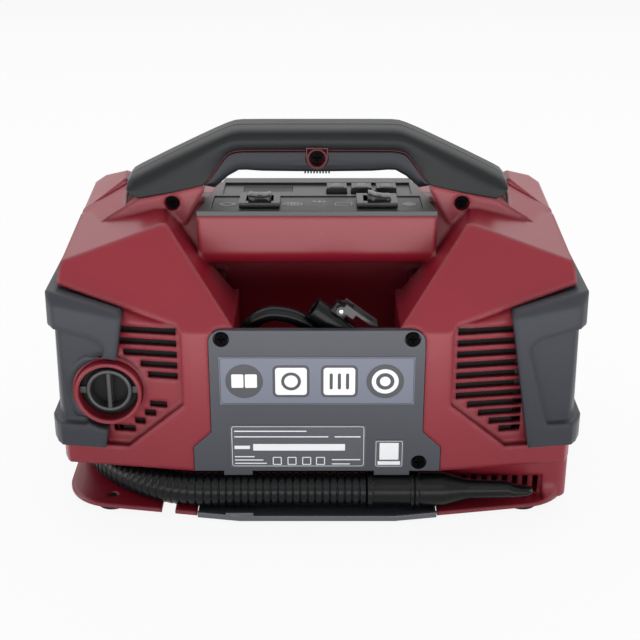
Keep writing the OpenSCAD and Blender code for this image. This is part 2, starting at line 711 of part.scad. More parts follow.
// ---- side bumpers ----
bumper_out = 5;
bumper_region = [[half_w - 28, field_low_z + 1], [half_w + 20, field_low_z + 1],
    [half_w + 20, field_top_out - 0.7], [half_w, field_top_out - 2.2],
    [half_w - 40.5, field_top_in + 8], [half_w - 41.5, field_top_in + 5]];
window_top = field_top_out - 22;
bumper_window = [[half_w - 18, field_low_z + 15], [half_w + 20, field_low_z + 15], [half_w + 20, window_top],
    [half_w, window_top], [half_w - 26, window_top - 6], [half_w - 31, window_top - 11]];
module bumper(side) {
    color(dark) difference() {
        intersection() {
            difference() {
                body_form(-bumper_out);
                difference() {
                    union() {
                        upright(bumper_window, -half_d - 20, -25);
                        upright(bumper_window, 25, half_d + 20);
                    }
                    body_form(-1);
                }
            }
            upright(bumper_region, -half_d - 20, half_d + 20);
        }
        body_form(grille_depth - gap);
    }
}
module bumper_left() {
    difference() {
        mirror([1, 0, 0]) bumper(-1);
        y_cylinder(port_x, port_z, collar_r + 3.6, -half_d - 20, -half_d + 40);
        y_cylinder(port_x, port_z, collar_r + 3.6, half_d - 40, half_d + 20);
    }
}
module bumper_right() { bumper(1); }

// ---- ports ----
collar_out = port_y + 3.5;
collar_in = port_y - 12;
seat_out = port_y - 5;
seat_in = port_y - 9;
// A ring about a port's axis from depth a to depth b, measured from the middle plane towards side t.
module port_ring(t, r, r_in, a, b) {
    difference() {
        y_cylinder(port_x, port_z, r, min(t * a, t * b), max(t * a, t * b));
        y_cylinder(port_x, port_z, r_in, min(t * a, t * b) - 1, max(t * a, t * b) + 1);
    }
}
// The mouth of the collar is a little wider than its inside, so the seat rests behind a shoulder.
mouth_r = collar_r - 2;
seat_r = mouth_r - 1;
module collar(t) {
    color(red) {
        port_ring(t, collar_r, mouth_r, seat_out, collar_out);
        port_ring(t, collar_r, seat_r, collar_in, seat_out);
    }
}
// Seat at the bottom of the collar, with the tube behind it and a guard bar across the mouth.
module port_tube(t) {
    bore = outlet_r - 2.3;
    color(grey) {
        difference() {
            port_ring(t, seat_r, bore, seat_in, seat_out);
            port_ring(t, seat_r - 1, outlet_r, seat_out - 2, seat_out + 1);
        }
        port_ring(t, outlet_r, bore, collar_in, seat_in + 1);
        box([port_x - 1.4, min(t * seat_in, t * (seat_out - 0.5)), port_z - bore - 0.5],
            [port_x + 1.4, max(t * seat_in, t * (seat_out - 0.5)), port_z + bore + 0.5]);
    }
}
module outlet_collar() { collar(-1); }
module outlet_tube() { port_tube(-1); }
module inlet_collar() { collar(1); }
module inlet_tube() { port_tube(1); }

// ---- corrugated hose ----
hose_start_x = half_w - 121;
hose_end_x = half_w - 84;
run1 = hose_start_x - hose_side_x - hose_bend;
run2 = hose_bend * PI / 2;
run3 = -2 * hose_y - 2 * hose_bend;
run5 = hose_end_x - hose_side_x - hose_bend;
hose_length = run1 + 2 * run2 + run3 + run5;
function bend_at(cy, a) = [hose_side_x + hose_bend + hose_bend * cos(a), cy + hose_bend * sin(a)];
// Centre line point and the heading at the distance s from the cuff.
function hose_at(s) =
    s < run1 ? [[hose_start_x - s, hose_y], 180]
    : s < run1 + run2 ? let (a = 270 - (s - run1) / run2 * 90) [bend_at(hose_y + hose_bend, a), a - 90]
    : s < run1 + run2 + run3 ? [[hose_side_x, hose_y + hose_bend + s - run1 - run2], 90]
    : s < run1 + 2 * run2 + run3 ? let (a = 180 - (s - run1 - run2 - run3) / run2 * 90)
        [bend_at(-hose_y - hose_bend, a), a - 90]
    : [[hose_side_x + hose_bend + s - run1 - 2 * run2 - run3, -hose_y], 0];
function ring(s, r, n) = let (h = hose_at(s), side = [-sin(h[1]), cos(h[1])])
    [for (k = [0:n - 1]) let (a = 360 * k / n)
        [h[0][0] + r * cos(a) * side[0], h[0][1] + r * cos(a) * side[1], hose_z + r * sin(a)]];
rib_count = floor(hose_length / rib_pitch);
rib_sides = 8;
bore_r = hose_r - 3;
module air_hose() {
    step = hose_length / (rib_count - 0.5);
    outer = [for (i = [0:rib_count - 1], q = [0, 1])
        ring((i + 0.5 * q) * step, q == 0 ? hose_r : hose_r - 1.6, rib_sides)];
    bore_steps = 48;
    inner = [for (i = [bore_steps:-1:0]) ring(i * hose_length / bore_steps, bore_r, rib_sides)];
    rings = concat(outer, inner);
    m = len(rings);
    points = [for (r = rings, p = r) p];
    faces = [for (i = [0:m - 1], k = [0:rib_sides - 1], h = [0, 1])
        let (j = (i + 1) % m, l = (k + 1) % rib_sides)
        h == 0 ? [i * rib_sides + k, j * rib_sides + l, i * rib_sides + l]
            : [i * rib_sides + k, j * rib_sides + k, j * rib_sides + l]];
    color(dark) polyhedron(points, faces);
}
cuff_r = hose_r + 0.2;
spigot_r = 9;
cuff_x1 = hose_start_x + 27.5;
module hose_cuff() {
    color(dark) difference() {
        union() {
            x_cylinder(hose_y, hose_z, cuff_r, hose_start_x + 0.1, cuff_x1);
            x_cylinder(hose_y, hose_z, cuff_r + 1, hose_start_x + 0.1, hose_start_x + 3.5);
            x_cylinder(hose_y, hose_z, cuff_r + 1, cuff_x1 - 2, cuff_x1);
            x_cylinder(hose_y, hose_z, spigot_r, cuff_x1 - 1, cuff_x1 + 9);
        }
        x_cylinder(hose_y, hose_z, spigot_r - 2, hose_start_x - 9, cuff_x1 + 20);
    }
}
module nozzle_part(x0, x1, r0, r1) {
    translate([x0, hose_y, hose_z]) rotate([0, 90, 0]) cylinder(r1 = r0, r2 = r1, h = x1 - x0, $fn = 48);
}
nozzle_x = cuff_x1 + 0.3;
module hose_nozzle() {
    color(dark) difference() {
        union() {
            nozzle_part(nozzle_x, nozzle_x + 17, cuff_r, cuff_r);
            nozzle_part(nozzle_x + 17, nozzle_x + 32, cuff_r, 6);
            nozzle_part(nozzle_x + 32, nozzle_x + 55, 6, 5.2);
            nozzle_part(nozzle_x + 55, nozzle_x + 70, 5.2, 3.4);
        }
        nozzle_part(nozzle_x - 6, nozzle_x + 10, spigot_r + gap, spigot_r + gap);
        nozzle_part(nozzle_x + 9.9, nozzle_x + 30, spigot_r - 1, 3.6);
        nozzle_part(nozzle_x + 29, nozzle_x + 75, 3.4, 1.6);
        // the tip is cut away on its upper side
        box([nozzle_x + 56, hose_y - 10, hose_z + 1], [nozzle_x + 80, hose_y + 10, hose_z + 10]);
    }
}
coupling_x1 = hose_end_x + 31;
module hose_coupling() {
    color(dark) difference() {
        union() {
            x_cylinder(-hose_y, hose_z, cuff_r - 1, hose_end_x + 0.1, coupling_x1);
            x_cylinder(-hose_y, hose_z, cuff_r, coupling_x1 - 14, coupling_x1);
        }
        x_cylinder(-hose_y, hose_z, spigot_r - 2, 0, coupling_x1 - 10);
        x_cylinder(-hose_y, hose_z, spigot_r - 0.6, coupling_x1 - 12, coupling_x1 + 1);
    }
}

// ---- pressure hose in the pocket ----
gland_out = pocket_y1 - 5;
chuck_dir = [-0.8, 0, 0.6];
// Points that turn in X and Z about c while they move from y0 to y1.
function sweep(c, r, a0, a1, y0, y1, n) = [for (i = [0:n]) let (a = a0 + (a1 - a0) * i / n)
    [c[0] + r * cos(a), y0 + (y1 - y0) * i / n, c[1] + r * sin(a)]];
// The hose's centre line, measured from the foot of the pocket's back wall: out of the gland, once
// round the pocket, over the bow that shows above the cover, and up to the chuck.
route_pts = concat(
    [for (i = [0:4]) [11 + 19 * cos(22.5 * i), -5 - 19 * sin(22.5 * i), 10 - 1.25 * i]], [[2, -24, 5]],
    sweep([-15, 31], 26, -90, -270, -24.4, -27.6, 8), [[0, -28.6, 57]],
    sweep([15, 31], 26, 90, -90, -29.6, -33.2, 8), [[0, -34.1, 5]],
    sweep([-15.7, 31], 26, -90, -180, -34.8, -36.4, 4), [[-41.7, -36.8, 43], [-41.7, -37.2, 53]],
    sweep([-22.7, 62], 19, 180, 108, -37.5, -38.8, 3), sweep([-22.7, 54], 27, 90, 5, -39.3, -41.4, 4),
    [[4, -41.9, 44], [4, -42.6, 34]],
    sweep([22.8, 24], 19, 180, 360, -43.2, -44.6, 6), sweep([-17.7, 24], 59.5, 7, 53.13, -44.6, -44.6, 4));
route_k = pocket_x / 46.5;
route = [for (p = route_pts) [p[0] * route_k, p[1] + pocket_y1, p[2] + pocket_floor]];
gland_x = route[0][0];
gland_z = route[0][2];
chuck_tail = route[len(route) - 1];
function spline(a, b, c, d, t) = 0.5 * (2 * b + (c - a) * t + (2 * a - 5 * b + 4 * c - d) * t * t
    + (3 * b - a - 3 * c + d) * t * t * t);
steps_each = 2;
function route_at(i, t) = let (n = len(route) - 1)
    spline(i == 0 ? 2 * route[0] - route[1] : route[i - 1], route[i], route[i + 1],
        i + 1 == n ? route[n] + 10 * chuck_dir : route[i + 2], t);
centre = concat([for (i = [0:len(route) - 2], k = [0:steps_each - 1]) route_at(i, k / steps_each)],
    [route[len(route) - 1]]);
function frames(i, up) = i >= len(centre) ? []
    : let (last = len(centre) - 1,
        t0 = i == 0 ? [0, -1, 0] : i == last ? chuck_dir : centre[i + 1] - centre[i - 1], t = t0 / norm(t0),
        u0 = up - (up * t) * t, u = u0 / norm(u0))
    concat([[centre[i], u, cross(t, u)]], frames(i + 1, u));
hose_frames = frames(0, [0, 0, 1]);
pressure_sides = 8;
module pressure_hose() {
    n = pressure_sides;
    m = len(hose_frames);
    points = [for (f = hose_frames, k = [0:n - 1])
        f[0] + pressure_r * (cos(360 * k / n) * f[1] + sin(360 * k / n) * f[2])];
    sides = [for (i = [0:m - 2], k = [0:n - 1], h = [0, 1]) let (l = (k + 1) % n)
        h == 0 ? [i * n + k, (i + 1) * n + l, i * n + l] : [i * n + k, (i + 1) * n + k, (i + 1) * n + l]];
    last = (m - 1) * n;
    caps = concat([for (k = [1:n - 2]) [0, k, k + 1]], [for (k = [1:n - 2]) [last, last + k + 1, last + k]]);
    color(dark) polyhedron(points, concat(sides, caps));
}
lengths = [for (i = [1:len(centre) - 1]) norm(centre[i] - centre[i - 1])];
pressure_length = lengths * [for (l = lengths) 1];
least_gap = min([for (i = [0:len(centre) - 1], j = [i + 9:1:len(centre) - 1])
    norm(centre[i] - centre[j]) - 2 * pressure_r]);
echo(pressure_length = pressure_length, least_gap = least_gap, air_hose = hose_length, ribs = rib_count);

module hose_gland() {
    color(dark) difference() {
        union() {
            y_cylinder(gland_x, gland_z, pressure_r + 2, gland_out + 1, gland_in);
            y_cylinder(gland_x, gland_z, pressure_r + 3.6, pocket_y1 - 4, pocket_y1);
            y_cylinder(gland_x, gland_z, pressure_r + 1, gland_out, pocket_y1 - 3);
        }
        y_cylinder(gland_x, gland_z, 2.5, gland_out - 1, 0);
    }
}
gland_in = pocket_y1 + wall + 3;
module at_chuck() {
    translate(chuck_tail) rotate([0, -atan2(-chuck_dir[0], chuck_dir[2]), 0]) children();
}
lever_x = 9.2;
lever_z = 12.5;
module chuck_body() {
    color(dark) at_chuck() difference() {
        union() {
            cylinder(r = pressure_r + 1, h = 6.1, $fn = 40);
            translate([0, 0, 6]) cylinder(r = 6.4, h = 19, $fn = 48);
            box([-4, -3.2, 8], [lever_x + 2.5, 3.2, 17]);
        }
        translate([0, 0, 11]) cylinder(r = 4.1, h = 20, $fn = 40);
        translate([lever_x, 10, lever_z]) rotate([90, 0, 0]) cylinder(r = 1.1 + run_gap, h = 20, $fn = 32);
    }
}
module chuck_pin() {
    color("silver") at_chuck() translate([lever_x, 5.4, lever_z]) rotate([90, 0, 0])
        cylinder(r = 1.1, h = 10.8, $fn = 32);
}
// Thumb lever: two cheeks beside the lug and a bar that lies back along the body.
module chuck_lever() {
    color(grey) at_chuck() difference() {
        union() {
            for (s = [-1, 1]) {
                y_cylinder(lever_x, lever_z, 2.7, s < 0 ? -5.2 : 3.5, s < 0 ? -3.5 : 5.2);
                box([lever_x, s < 0 ? -5.2 : 3.5, lever_z - 8], [lever_x + 5, s < 0 ? -3.5 : 5.2, lever_z]);
            }
            box([lever_x + 3, -5.2, lever_z - 22], [lever_x + 5, 5.2, lever_z - 5.6]);
        }
        translate([lever_x, 10, lever_z]) rotate([90, 0, 0]) cylinder(r = 1.1 + run_gap, h = 20, $fn = 32);
        box([lever_x, -2.4, lever_z - 19], [lever_x + 9, 2.4, lever_z - 10]);
    }
}

// ---- fasteners ----
// A screw along Y whose head rests on the plane y.
module screw(y, l) {
    difference() {
        union() {
            y_cylinder(0, 0, recess_r - 0.8, y - head_h, y);
            y_cylinder(0, 0, screw_r - 0.1, y - 0.1, y + l);
        }
        for (a = [0, 90]) rotate([0, a, 0]) box([-2.2, y - head_h - 1, -0.4], [2.2, y - head_h + 1.2, 0.4]);
    }
}
module cover_screws() {
    color("dimgray") for (h = cover_holes) translate([h[0], 0, h[1]]) screw(cover_t - 1.2 - half_d, 14);
}
module housing_screws() {
    color("dimgray") {
        for (s = shoulder_screws)
            translate([s[0], 0, s[1]]) screw(recess_depth - arm_d, 2 * arm_d - recess_depth - 5);
        translate([handle_screw[0], 0, handle_screw[1]]) screw(recess_depth - handle_d / 2, 20);
    }
}

// ---- piston pump ----
pump_x = 0.66 * half_w;
motor_z = body_z0 + 33;
motor_r = 17.5;
gear_y0 = 64 - half_d;
gear_y1 = gear_y0 + 8;
plate_y0 = gear_y0 + 10;
motor_y0 = gear_y0 + 15;
motor_y1 = half_d - 36;
centre_gap = gear_module * (pinion_teeth + gear_teeth) / 2;
gear_z = motor_z + centre_gap;
pitch_r = gear_module * gear_teeth / 2;
function inv(a) = tan(a) * 180 / PI - a;
// One flank point of an involute tooth: the angle off the tooth's middle at radius r.
function half_angle(r, teeth, m, thin) =
    let (rp = m * teeth / 2, rb = rp * cos(20), a = r > rb ? acos(rb / r) : 0)
    90 / teeth * (1 - thin) + inv(20) - inv(a);
// Outline of one tooth as radius and angle: up one flank in four steps and down the other.
function tooth(teeth, m, thin) =
    let (rp = m * teeth / 2, root = rp - 1.2 * m, low = max(root, rp * cos(20)), tip = rp + 0.9 * m,
        levels = [for (k = [0:3]) low + (tip - low) * k / 3], foot = half_angle(rp * cos(20), teeth, m, thin),
        up = [for (r = levels) [r, -half_angle(r, teeth, m, thin)]])
    concat([[root, -foot]], up, [for (k = [3:-1:0]) [up[k][0], -up[k][1]]], [[root, foot]]);
function gear_points(teeth, m, turn, thin) = [for (i = [0:teeth - 1], p = tooth(teeth, m, thin))
    let (a = 360 * i / teeth + p[1] + turn) p[0] * [cos(a), sin(a)]];
module gear(teeth, turn, y0, y1) {
    translate([0, y1, 0]) rotate([90, 0, 0]) linear_extrude(y1 - y0)
        polygon(gear_points(teeth, gear_module, turn, 0.06));
}
shaft_r = 1.6;
axle_r = 3;
module pump_motor() {
    color("silver") difference() {
        union() {
            y_cylinder(pump_x, motor_z, motor_r, motor_y0, motor_y1);
            y_cylinder(pump_x, motor_z, 6, plate_y0 + 3, motor_y0 + 1);
        }
        y_cylinder(pump_x, motor_z, shaft_r + run_gap, plate_y0, motor_y1 + 1);
    }
}
module motor_pinion() {
    color("silver") translate([pump_x, 0, motor_z]) {
        y_cylinder(0, 0, shaft_r, gear_y0 - 1, motor_y1 + 10);
        gear(pinion_teeth, 90 + 180 / pinion_teeth, gear_y0 + 0.5, gear_y1 - 0.5);
    }
}
module cooling_fan() {
    color(dark) translate([pump_x, 0, motor_z]) {
        difference() {
            y_cylinder(0, 0, 5, motor_y1 + 2, motor_y1 + 9);
            y_cylinder(0, 0, shaft_r, motor_y1, motor_y1 + 10);
        }
        for (i = [0:6]) rotate([0, i * 360 / 7, 0]) translate([4.5, motor_y1 + 5.5, -3]) rotate([28, 0, 0])
            cube([11, 1.2, 6]);
    }
}
web_y = gear_y0 - 2;
pin_r = 2.5;
pin_y = gear_y0 - 9.2;
crank_pin_z = gear_z - crank_r;
module crank_gear() {
    color("ivory") {
        translate([pump_x, 0, gear_z]) difference() {
            gear(gear_teeth, 270, gear_y0, gear_y1);
            y_cylinder(0, 0, axle_r + run_gap, gear_y0 - 1, gear_y1 + 1);
            for (a = [30:60:330])
                rotate([0, a, 0]) y_cylinder(15.5, 0, 4, gear_y0 - 1, gear_y1 + 1);
        }
        y_cylinder(pump_x, gear_z, crank_r + pin_r + 2, web_y, gear_y0);
        y_cylinder(pump_x, crank_pin_z, pin_r, pin_y, web_y + 1);
    }
}
rod_y0 = gear_y0 - 9;
rod_y1 = web_y - 0.4;
eye_r = 3.4;
wrist_z = gear_z + pitch_r + gear_module + 6;
module connecting_rod() {
    color("ivory") difference() {
        union() {
            y_cylinder(pump_x, crank_pin_z, 5, rod_y0, rod_y1);
            box([pump_x - 2.6, rod_y0 + 1, crank_pin_z + 3], [pump_x + 2.6, rod_y1 - 1, wrist_z]);
            y_cylinder(pump_x, wrist_z, eye_r, rod_y0 + 0.6, rod_y1 - 0.6);
        }
        y_cylinder(pump_x, crank_pin_z, pin_r + run_gap, rod_y0 - 1, rod_y1 + 1);
    }
}
stroke = 2 * crank_r;
cup_r = crank_r + eye_r + 0.8;
piston_r = cup_r + 1.6;
sleeve_r = piston_r + run_gap;
cyl_y = (rod_y0 + rod_y1) / 2;
piston_low = wrist_z - 1;
crown_z = wrist_z + eye_r + stroke + 0.8;
piston_top = crown_z + 2.5;
cyl_low = piston_low - 2;
cyl_top = piston_top + stroke + 0.6;
module piston() {
    color("silver") difference() {
        z_cylinder(pump_x, cyl_y, piston_r, piston_low, piston_top);
        z_cylinder(pump_x, cyl_y, cup_r, piston_low - 1, crown_z);
    }
}
module pump_cylinder() {
    color("silver") difference() {
        union() {
            z_cylinder(pump_x, cyl_y, sleeve_r + 2, cyl_low, cyl_top);
            for (z = [cyl_low + 8:4:cyl_top - 3]) z_cylinder(pump_x, cyl_y, sleeve_r + 4, z, z + 1.4);
            box([pump_x - 9, cyl_y, cyl_low + 1], [pump_x + 9, plate_y0, cyl_top]);
        }
        z_cylinder(pump_x, cyl_y, sleeve_r, cyl_low - 1, cyl_top + 1);
    }
}
head_top = cyl_top + 8;
outlet_stub_y = cyl_y - sleeve_r - 8;
module cylinder_head() {
    color("silver") difference() {
        union() {
            z_cylinder(pump_x, cyl_y, sleeve_r + 2.5, cyl_top, head_top);
            y_cylinder(pump_x, cyl_top + 4.5, 3, outlet_stub_y, cyl_y);
        }
        z_cylinder(pump_x, cyl_y, sleeve_r - 3, cyl_top - 1, cyl_top + 6);
        y_cylinder(pump_x, cyl_top + 4.5, 1.5, outlet_stub_y - 1, cyl_y);
    }
}
frame_x0 = pump_x - 28;
frame_x1 = pump_x + 28;
// Plate between the motor and the gear, with a foot that stands on the plinth.
module pump_frame() {
    color("gainsboro") {
        difference() {
            union() {
                box([frame_x0, plate_y0, body_z0], [frame_x1, plate_y0 + 3, gear_z + 28]);
                box([pump_x - 12, plate_y0, gear_z], [pump_x + 12, plate_y0 + 3, cyl_top]);
                box([frame_x0, plate_y0, body_z0], [frame_x1, motor_y1, body_z0 + 3]);
                for (x = [frame_x0, frame_x1 - 3])
                    box([x, plate_y0, body_z0], [x + 3, motor_y1 - 8, motor_z]);
            }
            y_cylinder(pump_x, motor_z, 6, plate_y0 - 1, plate_y0 + 4);
        }
        y_cylinder(pump_x, gear_z, axle_r, gear_y0 + 0.2, plate_y0 + 1);
        // two cradles carry the can of the motor
        for (y = [motor_y0 + 8, motor_y1 - 12]) difference() {
            box([pump_x - 12, y, body_z0], [pump_x + 12, y + 4, motor_z - motor_r + 4]);
            y_cylinder(pump_x, motor_z, motor_r, y - 1, y + 5);
        }
    }
}

// ---- blower ----
blower_x = -(pocket_x + half_w) / 2;
blower_z = body_z0 + 51;
volute_r = 36;
volute_y0 = 38 - half_d;
volute_y1 = volute_y0 + 26;
fan_r = 31;
blower_shaft_r = 2;
blower_motor_r = 15;
duct_r = outlet_r + 1.6;
module blower_housing() {
    color(dark) difference() {
        union() {
            y_cylinder(blower_x, blower_z, volute_r, volute_y0, volute_y1);
            y_cylinder(port_x, port_z, duct_r, 12 - port_y, volute_y0 + 1);
            // foot on the plinth
            box([blower_x - 22, volute_y0, body_z0], [blower_x + 22, volute_y1 + 8, body_z0 + 3]);
            box([blower_x - 14, volute_y0, body_z0], [blower_x + 14, volute_y1, blower_z - volute_r + 6]);
        }
        y_cylinder(blower_x, blower_z, volute_r - 2, volute_y0 + 2, volute_y1 - 2);
        y_cylinder(port_x, port_z, duct_r - 1.6, -port_y, volute_y0 + 3);
        y_cylinder(blower_x, blower_z, blower_motor_r, volute_y1 - 3, volute_y1 + 1);
    }
}
module impeller() {
    color("ivory") translate([blower_x, 0, blower_z]) {
        y_cylinder(0, 0, fan_r, volute_y1 - 8, volute_y1 - 6);
        difference() {
            y_cylinder(0, 0, 6, volute_y0 + 8, volute_y1 - 5.5);
            y_cylinder(0, 0, blower_shaft_r, volute_y0 + 10, volute_y1);
        }
        y_cylinder(0, 0, blower_shaft_r, volute_y0 + 10, volute_y1 + 6);
        for (i = [0:8]) rotate([0, i * 40, 0])
            box([10, volute_y0 + 7, -0.7], [fan_r - 1, volute_y1 - 7, 0.7]);
    }
}
module blower_motor() {
    color("silver") difference() {
        union() {
            y_cylinder(blower_x, blower_z, blower_motor_r, volute_y1 - 3, volute_y1 + 40);
            y_cylinder(blower_x, blower_z, 5, volute_y1 + 39, volute_y1 + 44);
        }
        y_cylinder(blower_x, blower_z, blower_shaft_r + run_gap, volute_y1 - 4, volute_y1 + 7);
    }
}

// ---- electrics ----
board_z = body_z0 + 17;
board_y0 = pocket_y1 + wall + 6;
board_y1 = half_d - 44;
module power_board() {
    color([0.1, 0.35, 0.2]) {
        box([-52, board_y0, board_z], [52, board_y1, board_z + 1.6]);
        for (x = [-48, 48], y = [board_y0 + 4, board_y1 - 4]) z_cylinder(x, y, 2.5, body_z0, board_z);
        box([-40, board_y0 + 6, board_z + 1.5], [-4, board_y0 + 40, board_z + 30]);
        for (x = [12, 28, 42]) z_cylinder(x, board_y0 + 12, 6, board_z + 1.5, board_z + 24);
        box([8, 12, board_z + 1.5], [46, 16, board_z + 28]);
    }
}
// Lining of the bay with the two rails that the battery slides down on.
lining = 2;
rail_x = 31;
module battery_bay() {
    color(dark) difference() {
        box([-bay_x + gap, bay_y + gap, bay_z0], [bay_x - gap, half_d - 6, bay_z1 - gap]);
        box([-bay_x + gap + lining, bay_y + gap + lining, bay_z0 + lining],
            [bay_x - gap - lining, half_d, bay_z1 + 9]);
    }
    color(dark) for (s = [-1, 1])
        box([s * rail_x - 3, bay_y + lining, bay_z0 + 20], [s * rail_x + 3, bay_y + lining + 5, bay_z1 - 8]);
}
module battery_contacts() {
    color("orange") for (x = [-18, -6, 6, 18])
        box([x - 0.5, bay_y + gap + lining, bay_z0 + 16], [x + 0.5, bay_y + lining + 9, bay_z0 + 34]);
}
module mains_inlet() {
    color(dark) difference() {
        union() {
            box([inlet_x - 10.7, half_d - 18, inlet_z - 6.7], [inlet_x + 10.7, half_d, inlet_z + 6.7]);
            box([inlet_x - 14, half_d, inlet_z - 10], [inlet_x + 14, half_d + 2, inlet_z + 10]);
        }
        box([inlet_x - 8, half_d - 12, inlet_z - 4.5], [inlet_x + 8, half_d + 6, inlet_z + 4.5]);
    }
}

rear_housing();
front_housing();
base_tray();
base_plate();
rear_cover();
handle_grip_rear();
handle_grip_front();
control_panel();
panel_fascia();
display_window();
display_board();
rocker_frame_left();
rocker_frame_right();
rocker_left();
rocker_right();
button_minus();
button_plus();
button_unit();
bumper_left();
bumper_right();
outlet_collar();
outlet_tube();
inlet_collar();
inlet_tube();
air_hose();
hose_cuff();
hose_nozzle();
hose_coupling();
pressure_hose();
hose_gland();
chuck_body();
chuck_lever();
chuck_pin();
feet();
cover_screws();
housing_screws();
pump_motor();
motor_pinion();
crank_gear();
connecting_rod();
piston();
pump_cylinder();
cylinder_head();
pump_frame();
cooling_fan();
blower_housing();
impeller();
blower_motor();
power_board();
battery_bay();
battery_contacts();
mains_inlet();
symbol_label();
rating_label();
code_label();
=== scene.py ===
# %% [markdown]
# # A portable air compressor, dressed for rendering
# The machine stands on a red base tray. Two red shells bolted together carry everything: a bridge
# handle with soft grips, a sloping control panel, a grey cover with labels, rubbery bumpers on the
# ends, an air port on each long face, a ribbed air hose laid round the base and a thinner pressure
# hose put away in a pocket. The CAD frame already has every solid in its true place and size, so
# this script only adds what CAD leaves out: finishes, soft edges, small trim, light and a camera.

# %% Load the frame
import math

import bmesh
import bpy
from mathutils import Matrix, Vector


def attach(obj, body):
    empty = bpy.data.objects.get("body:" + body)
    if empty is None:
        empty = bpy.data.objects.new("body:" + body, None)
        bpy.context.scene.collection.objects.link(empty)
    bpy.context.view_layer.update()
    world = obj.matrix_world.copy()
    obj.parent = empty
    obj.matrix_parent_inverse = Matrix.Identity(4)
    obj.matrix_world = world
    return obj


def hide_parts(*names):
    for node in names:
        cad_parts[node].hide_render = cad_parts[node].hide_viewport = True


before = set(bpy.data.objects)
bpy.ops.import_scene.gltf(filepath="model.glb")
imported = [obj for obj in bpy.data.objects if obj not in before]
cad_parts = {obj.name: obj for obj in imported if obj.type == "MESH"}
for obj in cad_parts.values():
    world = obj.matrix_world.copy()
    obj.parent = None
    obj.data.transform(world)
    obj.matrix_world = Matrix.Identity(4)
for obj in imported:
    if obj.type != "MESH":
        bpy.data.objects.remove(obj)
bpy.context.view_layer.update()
MM = 0.001


# %% [markdown]
# ## The camera
# The camera looks at the pocket side from a little above the handle. A long lens stands well back,
# so the sides of the housing stay nearly parallel, as on a catalogue picture. It comes first because
# the free hoses are judged by what the camera sees.

# %% Camera
def aimed(name, data, place, target):
    """A camera or a lamp at a place, turned to look at the target."""
    thing = bpy.data.objects.new(name, data)
    thing.location = place
    thing.rotation_euler = (Vector(target) - Vector(place)).to_track_quat("-Z", "Y").to_euler()
    bpy.context.collection.objects.link(thing)
    return thing


lens = bpy.data.cameras.new("camera")
lens.lens, lens.sensor_width, lens.clip_start = 72.3, 36, 0.05
camera = aimed("camera", lens, (0.0017, -0.7337, 0.407), (0.0017, 0.0, 0.088))
bpy.context.scene.camera = camera
print("camera stands", round(camera.location.length, 3), "m from the middle of the base")


# %% [markdown]
# ## Centre lines of the two hoses
# A hose is a fixed length of bendy tube, so its line is settled first. The air hose lies in the tray:
# straight along the pocket side, round the left end in two quarter turns, and back along the other
# side. The pressure hose leaves a gland in the pocket, is wound twice round it, rises in the bow that
# shows above the cover and ends at the valve chuck. Both lines repeat the CAD's, in millimetres.

# %% Points along the air hose
HOSE_Y, HOSE_Z = 81.5, 15.3          # run beside each long face, and height of the centre
HOSE_LEFT, HOSE_BEND = -139.0, 76.0  # furthest line of the hose, and radius of its two bends
CUFF_X = 29.0                        # where the hose enters its cuff
AIR_RADIUS, GROOVE_RADIUS = 10.0, 8.4


def arc(cx, cy, radius, start, end, count):
    """Points on a circle between two angles in degrees."""
    turn = [math.radians(start + (end - start) * i / count) for i in range(count + 1)]
    return [(cx + radius * math.cos(a), cy + radius * math.sin(a)) for a in turn]


bend_x = HOSE_LEFT + HOSE_BEND
near_bend, far_bend = HOSE_BEND - HOSE_Y, HOSE_Y - HOSE_BEND
air_plan = [(CUFF_X - 4 * i, -HOSE_Y) for i in range(23)]
air_plan += arc(bend_x, near_bend, HOSE_BEND, 270, 180, 60) + arc(bend_x, far_bend, HOSE_BEND, 180, 90, 60)
air_plan += [(bend_x + 3 + 4.2 * i, HOSE_Y) for i in range(31)]
air_line = [Vector((x, y, HOSE_Z)) * MM for x, y in air_plan]


def length_of(line):
    return sum((b - a).length for a, b in zip(line, line[1:]))


print("air hose length", round(length_of(air_line), 4), "m")


# %% Points along the pressure hose
PRESSURE_RADIUS = 4.5


def turn_in_pocket(cx, cz, radius, start, end, y0, y1, count):
    """Points that turn about cx, cz in X and Z while they move from depth y0 to y1."""
    return [(x, y0 + (y1 - y0) * (i / count), z)
            for i, (x, z) in enumerate(arc(cx, cz, radius, start, end, count))]


def smooth_line(points, last_heading, steps):
    """A Catmull-Rom curve through the points."""
    ends = [2 * points[0] - points[1], *points, points[-1] + last_heading]
    line = []
    for a, b, c, d in zip(ends, ends[1:], ends[2:], ends[3:]):
        for i in range(steps):
            t = i / steps
            line.append(0.5 * (2 * b + (c - a) * t + (2 * a - 5 * b + 4 * c - d) * t * t
                               + (3 * b - a - 3 * c + d) * t ** 3))
    return line + [points[-1]]


pocket_route = (
    [(11 + 19 * math.cos(math.radians(22.5 * i)), -5 - 19 * math.sin(math.radians(22.5 * i)), 10 - 1.25 * i)
     for i in range(5)] + [(2, -24, 5)]
    + turn_in_pocket(-15, 31, 26, -90, -270, -24.4, -27.6, 8) + [(0, -28.6, 57)]
    + turn_in_pocket(15, 31, 26, 90, -90, -29.6, -33.2, 8) + [(0, -34.1, 5)]
    + turn_in_pocket(-15.7, 31, 26, -90, -180, -34.8, -36.4, 4) + [(-41.7, -36.8, 43), (-41.7, -37.2, 53)]
    + turn_in_pocket(-22.7, 62, 19, 180, 108, -37.5, -38.8, 3)
    + turn_in_pocket(-22.7, 54, 27, 90, 5, -39.3, -41.4, 4) + [(4, -41.9, 44), (4, -42.6, 34)]
    + turn_in_pocket(22.8, 24, 19, 180, 360, -43.2, -44.6, 6)
    + turn_in_pocket(-17.7, 24, 59.5, 7, 53.13, -44.6, -44.6, 4))
pocket_corner = Vector((0, -27, 40))
to_chuck = Vector((-8, 0, 6))
